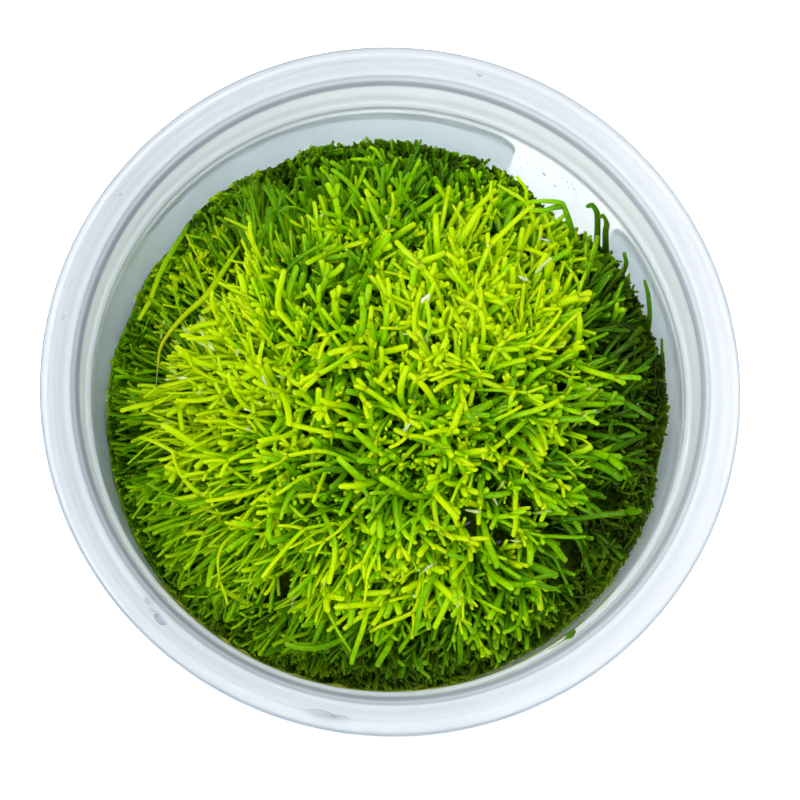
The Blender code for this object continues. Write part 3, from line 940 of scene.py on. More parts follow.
@dataclass
class CushionForm:
    """The form that the thalli grow on: a low dome of tufts, higher on the right."""

    cup: CupShell
    crown: float = 38.6
    drop: float = 6.0
    radius: float = 38.5
    slope: float = 0.085
    heart: tuple[float, float] = (5.8, 0.7)
    tuft_count: int = 44
    tuft_size: float = 6.6
    tuft_rise: float = 2.4
    edge_shade: float = 0.12
    shade_from: float = 37.5
    shade_over: float = 3.5
    mat_depth: float = 2.2
    pocket_depth: float = 2.0
    bank_height: float = 2.6
    seed: int = 11
    tufts: np.ndarray = field(init=False)
    lifts: np.ndarray = field(init=False)

    def __post_init__(self) -> None:
        """Spreads the tufts' middles over the disc, on a golden-angle spiral with some scatter."""
        rng = np.random.default_rng(self.seed)
        i = np.arange(self.tuft_count)
        radius = self.radius * np.sqrt((i + 0.5) / self.tuft_count)
        angle = i * GOLDEN_ANGLE + 0.6
        self.tufts = np.stack([radius * np.cos(angle), radius * np.sin(angle)], axis=-1)
        self.tufts += rng.normal(0.0, 1.1, self.tufts.shape)
        self.lifts = rng.uniform(-1.3, 1.1, self.tuft_count)

    def nearest(self, places: np.ndarray) -> tuple[np.ndarray, np.ndarray]:
        """Number of each place's nearest tuft, and the place's offset from it in tuft sizes."""
        apart = places[:, None] - self.tufts[None]
        number = (apart**2).sum(-1).argmin(1)
        return number, (places - self.tufts[number]) / self.tuft_size

    def dome(self, places: np.ndarray) -> np.ndarray:
        """Height of the dome without its tufts at (..., 2) places: crown - drop (r/R)^2.4 + slope x."""
        r = np.linalg.norm(places, axis=-1)
        return self.crown - self.drop * (r / self.radius) ** 2.4 + self.slope * places[..., 0]

    def dip(self, places: np.ndarray) -> np.ndarray:
        """Millimetres by which the growth sinks near the wall at (..., 2) places, or climbs it, if negative.

        Each dip is a depth times exp(-((angle - middle)/width)^2), and sets in over three
        millimetres from its radius on. It sinks in front, and climbs the wall elsewhere.
        """
        r = np.linalg.norm(places, axis=-1)
        angle = np.degrees(np.arctan2(places[..., 1], places[..., 0]))
        value = np.zeros_like(r)
        dips = (
            (272.0, 38.0, 33.5, 3.0), (-5.0, 32.0, 35.0, 1.2),
            (126.0, 24.0, 37.0, -3.6), (92.0, 20.0, 36.5, -1.8), (178.0, 26.0, 37.0, -2.0),
            (324.0, 36.0, 38.3, -3.6), (4.0, 14.0, 38.3, -2.2),
        )
        for middle, width, start, depth in dips:
            value += depth * bell(angle, middle, width) * np.clip((r - start) / 3.0, 0.0, 1.0)
        return value

    def height(self, places: np.ndarray) -> np.ndarray:
        """Height of the form at (n, 2) places.

        It is the dome less the dips, and each tuft adds a lift that falls off as exp(-d^2) with
        the distance from the tuft's middle.
        """
        base = self.dome(places) - self.dip(places)
        apart = ((places[:, None] - self.tufts[None]) ** 2).sum(-1) / self.tuft_size**2
        weight = np.exp(-1.6 * apart)
        return base + self.tuft_rise * (weight * (0.6 + self.lifts)).sum(-1) - 0.9

    def tone_and_shade(self, places: np.ndarray) -> np.ndarray:
        """Brightness at (n, 2) places with painted light and shade: the lobes of brightness, less the wall's
        painted shade.
        """
        edge = np.clip((np.linalg.norm(places, axis=-1) - self.shade_from) / self.shade_over, 0.0, 1.0)
        return lobed(places, BRIGHTNESS, 0.6) - self.edge_shade * edge

    def turn(self, places: np.ndarray) -> np.ndarray:
        """Degrees by which the growth at (n, 2) places is combed away from straight outwards.

        It is a sum of lobes, whose gains are turns.
        """
        lobes = (
            (-29.0, -12.0, 9.0, 27.0),
            (-21.0, -21.0, 7.0, 16.0),
            (-27.0, 10.0, 8.0, -22.0),
            (-19.0, 22.0, 9.0, -18.0),
            (-9.0, 9.0, 9.0, -38.0),
            (14.0, 13.0, 9.0, 20.0),
            (34.0, 1.0, 9.0, 30.0),
            (21.0, 4.0, 6.0, 14.0),
            (25.0, -16.0, 8.0, 32.0),
            (6.0, -25.0, 10.0, -32.0),
            (9.0, -2.0, 7.0, -42.0),
        )
        return lobed(places, lobes)

    def shortfall(self, angle: np.ndarray) -> np.ndarray:
        """Millimetres by which the growth ends short of the wall at an angle.

        It does so in bays behind, and in one on the right. Each bay is a depth times
        exp(-((angle - middle)/width)^2), in degrees.
        """
        turned_by = np.degrees(angle)
        value = np.zeros_like(turned_by)
        bays = (
            (66.0, 18.0, 0.9), (49.0, 8.0, 1.8), (-10.0, 6.0, 0.8), (158.0, 8.0, 0.5),
            (141.0, 5.0, 0.8), (113.0, 4.0, 0.6), (99.0, 3.0, 0.5),
        )
        for middle, width, depth in bays:
            value += depth * bell(turned_by, middle, width)
        return value

    def calm(self, places: np.ndarray) -> np.ndarray:
        """How flat and still the growth lies at (n, 2) places, from 0 to 1: nearness to a few discs."""
        discs = (
            (-28.0, 9.0, 10.0), (-29.0, -6.0, 10.0), (-22.0, -18.0, 9.0), (-13.0, -29.0, 8.0),
            (1.0, -30.0, 8.0), (19.0, 22.0, 8.0), (33.0, 5.0, 8.0), (28.0, -20.0, 9.0),
        )
        return nearness(places, discs)

    def hollow(self, places: np.ndarray) -> np.ndarray:
        """How far (n, 2) places lie in one of the wet pockets, from 0 to 1."""
        return nearness(places, POCKETS)

    def mat(self) -> bpy.types.Object:
        """The matted old growth: the form lowered by a few millimetres, closed by a side along the wall.

        The top's point at ring i and step j lies at radius R t_i and at the form's height less
        the mat's depth, with ripples of two sines. It sinks further in the pockets, and rises
        towards the wall. The side runs down the wall to the gel. The mat is brown in
        the pockets, and along the wall in front and on the right.
        """
        rings, steps = 70, 240
        share = np.linspace(0.0, 1.0, rings)[:0:-1]
        side = np.array([(self.cup.inside(z) - 0.35, z) for z in (26.5, 20.0, 12.0)])
        low = np.array([(0.0, 9.9), (34.5, 9.9), (37.4, 10.4)])
        crown = np.stack([41.2 * share, np.full(rings - 1, 60.0)], axis=-1)
        surface = turned(np.concatenate([low, side[::-1], crown, [(0.0, 60.0)]]), steps)
        points = surface.points
        high = points[:, 2] > 50.0
        flat = points[high, :2]
        x, y = flat.T
        ripple = 0.5 * np.sin(1.9 * x + 0.7 * y) * np.sin(1.3 * y - 0.9 * x)
        bank = np.clip((np.linalg.norm(flat, axis=-1) - 37.0) / 4.0, 0.0, 1.0)
        lowered = self.height(flat) - self.mat_depth + ripple
        points[high, 2] = lowered - self.pocket_depth * self.hollow(flat) + self.bank_height * bank
        waist = ~high & (points[:, 2] > 24.0)
        points[waist, 2] += self.slope * points[waist, 0]
        upper = points[:, 2] > 24.0
        radius = np.linalg.norm(points[:, :2], axis=-1)
        back = self.shortfall(np.arctan2(points[:, 1], points[:, 0])) * np.clip(radius / 40.0, 0.0, 1.0) ** 4
        points[upper, :2] *= (1 - (back / np.maximum(radius, 1.0))[upper])[:, None]
        # the mat takes the growth's painted light and shade, a little dimmer
        tone_and_shade = 0.8 * self.tone_and_shade(points[:, :2]) - 0.12
        tone_and_shade[points[:, 2] < 28.0] = 0.3
        angle = np.degrees(np.arctan2(points[:, 1], points[:, 0]))
        front = bell(angle, 300.0, 62.0, 4)
        brown = np.maximum(self.hollow(points[:, :2]), front * np.clip((radius - 35.5) / 3.5, 0.0, 1.0))
        surface.growth = np.stack([tone_and_shade, brown, brown], axis=-1)
        return settle(make_object("riccia_mat", surface, MatSkin().material()), "riccia", "riccia_cushion")


POCKETS = (
    (11.8, -16.9, 1.5), (16.6, -19.3, 1.6), (25.0, -18.8, 1.4), (26.7, -22.0, 1.5), (15.4, -11.7, 0.9),
    (19.8, -14.4, 1.1), (0.1, 7.8, 0.9), (-9.5, 4.6, 0.8), (-14.8, -25.9, 1.6), (33.0, -12.3, 1.2),
    (25.3, 3.0, 1.1),
)


@dataclass
class Growth:
    """One stand of thalli, and how they root, lean, bend and fork.

    A pair of lean, scatter, bundle or pull is the value in the middle and the value at the wall.
    """

    name: str
    age: Age
    count: int
    seed: int
    ring: tuple[float, float]
    length: tuple[float, float]
    width: tuple[float, float]
    lean: tuple[float, float]
    scatter: tuple[float, float]
    bundle: tuple[float, float] = (34.0, 9.0)
    droop: tuple[float, float] = (0.0, 20.0)
    pull: tuple[float, float] = (0.15, 1.0)
    tuft_pull: float = 0.8
    depth: tuple[float, float] = (1.0, 3.0)
    fork_share: float = 0.6
    prong: tuple[float, float] = (0.12, 0.3)
    tint: float = 0.0
    tint_scatter: float = 0.12
    curl: float = 30.0
    wave: float = 9.0
    flat: tuple[float, float] = (0.45, 0.75)
    blunt: float = 0.1
    depth_shade: float = 0.08
    climb: float = 0.25
    shy: float = 0.0
    clump: float = 0.1
    roll: float = 0.6
    sector: tuple[float, float] = (0.0, 360.0)
    sides: int = 5
    points: int = 8
    clearance: float = 0.12
    margin: float = 2.0
    ceiling: float = 46.3
    fork_angle: tuple[float, float] = (20.0, 45.0)
    loose_room: float = 1.1
    loose_under: float = 0.3
    lying: np.ndarray = field(init=False, default_factory=lambda: np.zeros((0, 3)))

    def roots(self, rng: np.random.Generator) -> np.ndarray:
        """(count, 2) places where the thalli root, evenly spread over the ring's part."""
        inner, outer = self.ring
        radius = np.sqrt(rng.uniform(inner**2, outer**2, self.count))
        angle = np.radians(rng.uniform(*self.sector, self.count))
        return np.stack([radius * np.cos(angle), radius * np.sin(angle)], axis=-1)

    def routes(
        self, form: CushionForm, rng: np.random.Generator
    ) -> tuple[np.ndarray, np.ndarray, np.ndarray]:
        """Points along each thallus, where it is rooted and how deep.

        Each step has the direction (sin l cos h, sin l sin h, cos l). The lean l grows from the
        middle to the wall and from root to tip. The heading h points away from the cushion's
        heart and from the middle of the tuft. A smooth field turns whole bundles of it, and
        each thallus adds a scatter, a curl and a wave of its own.

        Args:
            form: The form that they grow on.
            rng: Source of the scatter.

        Returns:
            (count, points, 3) routes, (count, 2) roots and (count,) depths.
        """
        root = self.roots(rng)
        out = root - np.array(form.heart)
        share = np.clip(np.linalg.norm(out, axis=-1) / 36.0, 0.0, 1.0)
        _, offset = form.nearest(root)
        pull = self.pull[0] + (self.pull[1] - self.pull[0]) * share
        way = unit(out) * pull[:, None] + offset * self.tuft_pull
        scatter = np.radians(self.scatter[0] + (self.scatter[1] - self.scatter[0]) * share)
        bundle = np.radians(self.bundle[0] + (self.bundle[1] - self.bundle[0]) * share)
        heading = np.arctan2(way[:, 1], way[:, 0]) + rng.normal(0.0, 1.0, self.count) * scatter
        heading += bundle * drift(root, 11.0, 5) + np.radians(form.turn(root))
        lean = self.lean[0] + (self.lean[1] - self.lean[0]) * share
        lean = np.radians(lean + rng.normal(0.0, 9.0, self.count) + 6.0 * drift(root, 9.0, 6))
        droop = np.radians(rng.uniform(*self.droop, self.count))
        curl = np.radians(rng.normal(0.0, self.curl, self.count))
        sway = np.radians(self.wave) * rng.normal(0.0, 1.0, (2, self.count))[:, :, None]
        length = rng.uniform(*self.length, self.count)
        t = (np.arange(self.points - 1) + 0.5) / (self.points - 1)
        l = lean[:, None] + droop[:, None] * (t - 0.3) + sway[1] * np.sin(TAU * t * 1.2)
        h = heading[:, None] + curl[:, None] * (t - 0.4) + sway[0] * np.sin(TAU * t * 1.4 + 0.7)
        step = polar(np.sin(l), h, np.cos(l))
        step *= (length / (self.points - 1))[:, None, None]
        depth = rng.uniform(*self.depth, self.count)
        start = np.concatenate([root, (form.height(root) - depth)[:, None]], axis=1)[:, None]
        return np.concatenate([start, start + np.cumsum(step, axis=1)], axis=1), root, depth

    def drawn_in(self, paths: np.ndarray, form: CushionForm, rng: np.random.Generator) -> np.ndarray:
        """Paths that are shortened towards their roots where they would pass the wall.

        The limit of the radius is R(z) - clearance - shortfall - a margin of its own for each
        thallus. The factor is the least (limit - root) / (radius - root), down to 0.3.
        """
        r = np.linalg.norm(paths[..., :2], axis=-1)
        margin = rng.uniform(0.0, self.margin, len(paths))[:, None]
        limit = form.cup.inside(paths[..., 2]) - self.clearance - margin
        limit = limit - form.shortfall(np.arctan2(paths[..., 1], paths[..., 0]))
        beyond = np.maximum(r - r[:, :1], 1e-6)
        factor = np.where(r > limit, (limit - r[:, :1]) / beyond, 1.0).min(axis=1)
        return paths[:, :1] + (paths - paths[:, :1]) * np.clip(factor, 0.3, 1.0)[:, None, None]

    def kept_in(self, paths: np.ndarray, widths: np.ndarray, form: CushionForm) -> np.ndarray:
        """Paths that stay under the ceiling and inside the wall, where they curl upwards.

        A point whose radius passes the limit R(z) - w/2 - clearance - shortfall is set back to
        it, and rises by the climb times what it went over.
        """
        r = np.linalg.norm(paths[..., :2], axis=-1)
        limit = form.cup.inside(paths[..., 2]) - widths / 2 - self.clearance
        limit = limit - form.shortfall(np.arctan2(paths[..., 1], paths[..., 0]))
        over = np.clip(r - limit, 0.0, None)
        scale = np.where(over > 0, limit / np.maximum(r, 1e-6), 1.0)
        high = np.minimum(paths[..., 2] + self.climb * over, self.ceiling - widths / 2)
        return np.stack([paths[..., 0] * scale, paths[..., 1] * scale, high], axis=-1)

    def stays(self, paths: np.ndarray, form: CushionForm, rng: np.random.Generator) -> np.ndarray:
        """Which thalli stay: those clear of the loose ones on top, of the pockets and of calm places.

        A thallus is left out where one of its points comes within the loose room of a loose one,
        seen from above, and doesn't lie lower than the loose under below it. It is left out
        where a point is well inside a pocket, and by chance, with the stand's shyness times the
        calm, where it is rooted in a calm place.
        """
        flat = paths[..., :2].reshape(-1, 2)
        clear = ~((form.hollow(flat) > 0.5).reshape(paths.shape[:2]) & (paths[..., 2] > 30.0)).any(axis=1)
        clear &= rng.uniform(size=len(paths)) > self.shy * form.calm(paths[:, 0, :2])
        for loose in LOOSE:
            line = loose.path(30)
            apart = np.linalg.norm(paths[:, :, None, :2] - line[None, None, :, :2], axis=-1)
            over = paths[:, :, None, 2] > line[None, None, :, 2] - self.loose_under
            clear &= ~((apart < self.loose_room) & over).any(axis=(1, 2))
        return clear

    def forks(self, paths: np.ndarray, rng: np.random.Generator) -> tuple[np.ndarray, np.ndarray]:
        """Second prongs, as four-point paths that leave the first one near its tip.

        A prong's direction is the path's own at the fork, turned sideways by one of the fork angles.
        The first path bends away to the other side from there on.

        Args:
            paths: (n, m, 3) routes of all the thalli, which this bends at the forks.
            rng: Source of the scatter.

        Returns:
            (k, 4, 3) prongs and the numbers of the k thalli that have one.
        """
        chosen = np.flatnonzero(rng.uniform(size=len(paths)) < self.fork_share)
        m = paths.shape[1]
        place = rng.integers(m // 2, m - 1, len(chosen))
        at = paths[chosen, place]
        along = unit(at - paths[chosen, place - 1])
        flat = unit(np.cross(along, np.array([0.0, 0.0, 1.0])) + 0.5 * rng.normal(size=along.shape))
        hand = rng.choice([-1.0, 1.0], (len(chosen), 1))
        side = unit(flat - (flat * along).sum(-1, keepdims=True) * along) * hand
        turn = np.radians(rng.uniform(*self.fork_angle, len(chosen)))[:, None]
        way = along * np.cos(turn) + side * np.sin(turn)
        whole = np.linalg.norm(np.diff(paths[chosen], axis=1), axis=-1).sum(1)
        reach = (whole * rng.uniform(*self.prong, len(chosen)))[:, None, None]
        t = np.linspace(0.0, 1.0, 4)[None, :, None]
        bent = way[:, None] * t * reach + (along - way)[:, None] * reach * 0.35 * t**2
        beyond = np.clip(np.arange(m)[None] - place[:, None], 0, None) * (whole / (m - 1))[:, None]
        paths[chosen] -= side[:, None] * (0.7 * np.tan(turn) * beyond)[:, :, None]
        return at[:, None] + bent, chosen

    def surface(self, form: CushionForm) -> list[Surface]:
        """The stand's surfaces: first thalli, then their second prongs.

        Widths run from 0.72 at the root to 1 past the middle, and lose the blunt share at the round tip.
        """
        rng = np.random.default_rng(self.seed)
        paths, root, depth = self.routes(form, rng)
        clear = self.stays(paths, form, rng)
        paths, root, depth = self.drawn_in(paths[clear], form, rng), root[clear], depth[clear]
        left = len(paths)
        prongs, chosen = self.forks(paths, rng)
        width = rng.uniform(*self.width, left)
        t = np.linspace(0.0, 1.0, self.points)
        swell = 0.28 * np.sin(np.pi * np.clip(t * 0.7, 0, 1))
        shape = 0.72 + swell - self.blunt * np.clip(t - 0.85, 0, 1) / 0.15
        widths = width[:, None] * shape
        paths = self.kept_in(paths, widths, form)
        self.lying = paths.reshape(-1, 3)
        flat = rng.uniform(*self.flat, left)
        roll = rng.normal(0.0, self.roll, left)
        tone_and_shade = self.tint + rng.normal(0.0, self.tint_scatter, left)
        tone_and_shade += self.clump * np.tanh(1.5 * drift(root, 9.0, 8)) - 0.03 * (depth - 1.0)
        stand = tubes(paths, widths, flat, roll, self.sides)
        # each point adds the painted light and shade of its place
        stand.growth = self.values(tone_and_shade[:, None] + self.light(paths, form), t, self.sides)
        s = np.linspace(0.0, 1.0, 4)
        thin = width[chosen, None] * (0.92 - self.blunt * s**3)
        prongs = self.kept_in(prongs, thin, form)
        second = tubes(prongs, thin, flat[chosen], roll[chosen], self.sides)
        bright = tone_and_shade[chosen, None] + 0.03 + self.light(prongs, form)
        second.growth = self.values(bright, 0.7 + 0.3 * s, self.sides)
        return [stand, second]

    def light(self, paths: np.ndarray, form: CushionForm) -> np.ndarray:
        """How bright (n, m, 3) points are by place: the form's tone and shade, less painted shade that is the
        depth shade times the depth.

        The depth is taken below the tips, which stand over the dome by the mat's depth.
        """
        deep = form.dome(paths[..., :2]) + form.mat_depth - paths[..., 2]
        tone_and_shade = form.tone_and_shade(paths[..., :2].reshape(-1, 2)).reshape(deep.shape)
        return tone_and_shade - self.depth_shade * np.clip(deep, -2.5, 8.0)

    def values(self, tone_and_shade: np.ndarray, along: np.ndarray, sides: int) -> np.ndarray:
        """Growth values of each tube's points: the (n, m) vigour and the place along it."""
        parts = [np.repeat(tone_and_shade, sides, axis=1), tone_and_shade[:, :1], tone_and_shade[:, -1:]]
        bright = np.concatenate(parts, axis=1).ravel()
        place = np.tile(np.concatenate([np.repeat(along, sides), [along[0], along[-1]]]), len(tone_and_shade))
        return np.stack([bright, place, place], axis=-1)

    def build(self, form: CushionForm) -> bpy.types.Object:
        """Makes the stand as one object."""
        stand = joined(self.surface(form))
        LOG.info("%s: %d triangles", self.name, stand.count())
        piece = make_object(self.name, stand, ThallusSkin(self.age).material())
        return settle(piece, "riccia", "riccia_cushion")


def stands() -> list[Growth]:
    """The stands of thalli, from the deepest to the ones on top."""
    return [
        Growth(
            "under_thalli", Age.OLD, 1600, 21,
            (0.0, 40.4), (5.0, 9.0), (0.45, 0.75), (50.0, 74.0), (70.0, 24.0),
            depth=(1.6, 3.0), tint=0.03, fork_share=0.0, sides=4, points=5, tint_scatter=0.08,
        ),
        Growth(
            "wall_thalli", Age.OLD, 1350, 22,
            (37.5, 41.4), (3.5, 7.0), (0.5, 0.8), (30.0, 66.0), (40.0, 26.0),
            droop=(-30.0, 60.0), depth=(-0.4, 4.0), tint=-0.02, fork_share=0.45, sides=4, points=5,
            tint_scatter=0.08, curl=50.0, margin=0.5,
        ),
        Growth(
            "far_thalli", Age.OLD, 1100, 29,
            (33.0, 40.6), (2.4, 5.0), (0.5, 0.82), (12.0, 46.0), (80.0, 50.0),
            droop=(-20.0, 80.0), depth=(-0.2, 1.6), fork_share=0.7, prong=(0.25, 0.5), sides=4, points=6,
            tint=0.02, tint_scatter=0.1, curl=70.0, sector=(38.0, 146.0), margin=0.4,
        ),
        Growth(
            "sodden_thalli", Age.SODDEN, 1300, 31,
            (34.5, 41.3), (2.6, 5.5), (0.4, 0.7), (36.0, 66.0), (80.0, 60.0),
            droop=(-20.0, 50.0), depth=(-1.6, 1.2), tuft_pull=0.6, prong=(0.25, 0.5), sides=4, points=6,
            tint=0.1, tint_scatter=0.1, curl=70.0, depth_shade=0.03, sector=(-125.0, 10.0), margin=0.5,
        ),
        Growth(
            "flank_thalli_left", Age.GROWN, 2100, 23,
            (12.0, 38.0), (9.0, 17.0), (0.4, 0.7), (64.0, 85.0), (15.0, 6.0),
            depth=(0.6, 2.0), tuft_pull=0.25, fork_share=0.25, sector=(125.0, 265.0), tint_scatter=0.05,
            sides=4, curl=24.0, wave=7.0, clump=0.12, depth_shade=0.05, clearance=0.8, margin=4.0,
        ),
        Growth(
            "edge_thalli_left", Age.OLD, 650, 32,
            (37.2, 41.0), (2.4, 4.8), (0.42, 0.7), (20.0, 56.0), (80.0, 50.0),
            droop=(-20.0, 70.0), depth=(-0.8, 1.4), tuft_pull=0.7, fork_share=0.7, prong=(0.25, 0.5), sides=4,
            points=6, tint=-0.05, tint_scatter=0.08, curl=70.0, sector=(140.0, 236.0), margin=0.5,
        ),
        Growth(
            "flank_thalli_far", Age.GROWN, 520, 30,
            (14.0, 34.0), (6.0, 11.0), (0.5, 0.9), (44.0, 66.0), (40.0, 22.0),
            droop=(-6.0, 40.0), depth=(0.6, 2.6), tuft_pull=0.6, fork_share=0.45, sector=(55.0, 125.0),
            tint_scatter=0.08, clearance=2.2,
        ),
        Growth(
            "flank_thalli_right", Age.GROWN, 1400, 24,
            (14.0, 38.0), (6.0, 12.0), (0.45, 0.85), (52.0, 74.0), (30.0, 14.0),
            droop=(0.0, 36.0), depth=(0.6, 2.6), tuft_pull=0.5, fork_share=0.4, sector=(-95.0, 55.0),
            tint_scatter=0.08, sides=4, curl=36.0, wave=10.0, clearance=0.8, margin=3.0,
        ),
        Growth(
            "crown_thalli", Age.YOUNG, 1050, 25,
            (0.0, 27.0), (7.5, 14.0), (0.7, 1.2), (48.0, 66.0), (65.0, 28.0),
            droop=(-14.0, 34.0), depth=(0.2, 2.2), tuft_pull=0.9, fork_share=0.7, tint=0.05, sides=6,
            points=9, curl=45.0, tint_scatter=0.13, clump=0.13, clearance=2.0, shy=0.5,
        ),
        Growth(
            "tip_thalli", Age.YOUNG, 1200, 26,
            (0.0, 36.0), (3.2, 7.2), (0.58, 1.05), (24.0, 50.0), (80.0, 34.0),
            droop=(-20.0, 30.0), depth=(-0.4, 1.6), fork_share=0.85, prong=(0.25, 0.5), points=6,
            tint_scatter=0.14, clump=0.13, clearance=2.0, shy=0.85,
        ),
        Growth(
            "bud_thalli", Age.YOUNG, 1500, 28,
            (0.0, 39.2), (1.4, 3.0), (0.42, 0.7), (6.0, 34.0), (120.0, 120.0),
            droop=(-10.0, 20.0), depth=(-0.4, 1.0), fork_share=0.4, prong=(0.3, 0.6), points=4, tint=0.02,
            tint_scatter=0.16, blunt=0.0, shy=0.85,
        ),
        Growth(
            "long_thalli", Age.YOUNG, 170, 27,
            (4.0, 31.0), (13.0, 19.0), (0.6, 0.95), (66.0, 78.0), (45.0, 16.0),
            droop=(6.0, 36.0), depth=(-1.2, 0.6), tuft_pull=0.4, fork_share=0.7, tint=0.06, sides=6,
            points=14, curl=60.0, clearance=2.4,
        ),
    ]


# The loose pieces


@dataclass
class LooseThallus:
    """A thallus or two that lie loose, or stand free, along smooth curves through their own points.

    Args:
        name: Name of the piece.
        node: The solid that it stands for, or an empty name.
        routes: The points of each strand.
        girth: Widths at even steps from the first end to the last.
        age: Its greens.
        tone_and_shade: How bright it is.
        slot: The record's material slot.
    """

    name: str
    node: str
    routes: tuple[tuple[tuple[float, float, float], ...], ...]
    girth: tuple[float, ...]
    age: Age = Age.GROWN
    tone_and_shade: float = 0.7
    slot: str = "riccia"
    sides: int = 10

    def path(self, count: int = 40, number: int = 0) -> np.ndarray:
        """Points on the piecewise cubic curve whose slope at each route point is half the chord round it.

        Args:
            count: Number of points.
            number: Which strand.

        Returns:
            (count, 3) points, evenly spread over the curve's parameter.
        """
        route = np.array(self.routes[number])
        slope = np.gradient(route, axis=0)
        place = np.linspace(0.0, len(route) - 1.0, count)
        i = np.minimum(place.astype(int), len(route) - 2)
        t = (place - i)[:, None]
        a, b, p, q = route[i], route[i + 1], slope[i], slope[i + 1]
        leaving = (2 * t**3 - 3 * t**2 + 1) * a + (t**3 - 2 * t**2 + t) * p
        return leaving + (3 * t**2 - 2 * t**3) * b + (t**3 - t**2) * q

    def build(self) -> bpy.types.Object:
        """Makes the strands as tubes whose width runs straight from each value of the girth to the next."""
        t = np.linspace(0.0, 1.0, 40)
        widths = np.interp(t, np.linspace(0.0, 1.0, len(self.girth)), self.girth)
        paths = np.stack([self.path(40, number) for number in range(len(self.routes))])
        n = len(paths)
        surface = tubes(paths, np.tile(widths, (n, 1)), np.full(n, 0.92), np.full(n, 0.3), self.sides)
        along = np.tile(np.concatenate([np.repeat(t, self.sides), [0.0, 1.0]]), n)
        surface.growth = np.stack([np.full(len(along), self.tone_and_shade), along, np.zeros(len(along))], axis=-1)
        piece = make_object(self.name, surface, ThallusSkin(self.age).material())
        return settle(piece, self.slot, *([self.node] if self.node else []))


LOOSE = (
    LooseThallus(
        "long_loose_thallus", "long_thallus",
        (
            (
                (-21.6, 24.7, 34.8), (-24.0, 20.8, 35.0), (-26.5, 17.1, 34.7), (-29.6, 14.3, 34.2),
                (-32.1, 11.4, 33.6), (-33.2, 9.4, 33.1), (-33.5, 7.2, 32.5), (-33.8, 3.6, 31.8),
            ),
        ),
        (0.5, 0.75, 1.0, 1.0, 0.85, 0.72, 0.62, 0.55, 0.5, 0.42, 0.16, 0.12), Age.FADED, 0.75, "thallus",
    ),
    LooseThallus(
        "short_loose_thallus", "short_thallus",
        (
            (
                (-29.2, 28.4, 33.4), (-30.2, 26.6, 32.8), (-31.3, 24.9, 32.4), (-33.4, 20.9, 32.0),
                (-34.8, 17.0, 32.0), (-36.4, 13.9, 32.4),
            ),
        ),
        (0.5, 0.8, 0.86, 0.82, 0.8, 0.6), Age.GROWN, 1.02, "thallus",
    ),
)

STRAYS = (
    LooseThallus(
        "stray_bridge", "",
        (
            (
                (27.9, 24.7, 36.0), (27.2, 26.8, 40.0), (26.0, 29.2, 42.5), (25.4, 29.9, 42.8),
                (23.0, 30.1, 43.0), (20.6, 30.2, 41.5),
            ),
            ((25.7, 29.5, 42.6), (24.6, 29.3, 42.4), (23.2, 29.0, 42.0), (21.0, 29.0, 41.0)),
        ),
        (1.0, 0.95, 0.8, 0.7, 0.6), Age.GROWN, 0.78,
    ),
    LooseThallus(
        "stray_hooks", "",
        (
            (
                (31.4, 25.0, 36.0), (31.1, 26.7, 40.0), (30.8, 28.6, 42.3), (30.1, 29.5, 43.0),
                (29.2, 29.3, 43.2),
            ),
            (
                (32.7, 24.4, 36.0), (32.3, 26.2, 40.0), (32.3, 27.2, 41.8), (31.9, 28.0, 42.6),
                (31.2, 27.9, 42.8),
            ),
        ),
        (1.15, 1.0, 0.95, 0.85, 0.6), Age.OLD, 0.42,
    ),
    LooseThallus(
        "stray_rods", "",
        (
            ((38.9, 11.3, 35.0), (38.9, 14.0, 38.0), (38.5, 16.4, 40.3), (37.9, 18.7, 41.4)),
            ((40.6, 6.0, 34.0), (40.9, 8.4, 36.6), (40.7, 10.5, 38.6)),
            ((35.0, 20.6, 36.0), (35.4, 21.6, 39.0), (34.9, 22.8, 41.0)),
        ),
        (0.75, 0.75, 0.7, 0.65), Age.OLD, 0.42,
    ),
)


@dataclass
class ThallusScrap:
    """The little teardrop of a thallus that is stuck on the collar, with a tail as thin as a hair."""

    start: tuple[float, float, float] = (26.2, -34.4, 51.1)
    end: tuple[float, float, float] = (22.6, -36.9, 49.7)

    def build(self) -> bpy.types.Object:
        """Makes the scrap: a tube on the chord, 0.75 exp(-((t - 0.16)/0.16)^2) + 0.2 - 0.1 t mm wide."""
        t = np.linspace(0.0, 1.0, 24)
        chord = np.array(self.start) + np.outer(t, np.array(self.end) - np.array(self.start))
        chord[:, 1] -= 0.25 * np.sin(math.pi * t)
        widths = 0.75 * np.exp(-(((t - 0.16) / 0.16) ** 2)) + 0.2 - 0.1 * t
        surface = tubes(chord[None], widths[None], np.array([0.7]), np.array([0.0]), 12)
        along = np.concatenate([np.repeat(t, 12), [0.0, 1.0]])
        surface.growth = np.stack([np.full(len(along), 0.5), along, np.zeros(len(along))], axis=-1)
        piece = make_object("thallus_scrap_piece", surface, ThallusSkin(Age.GROWN).material())
        return settle(piece, "thallus", "thallus_scrap")


# The water


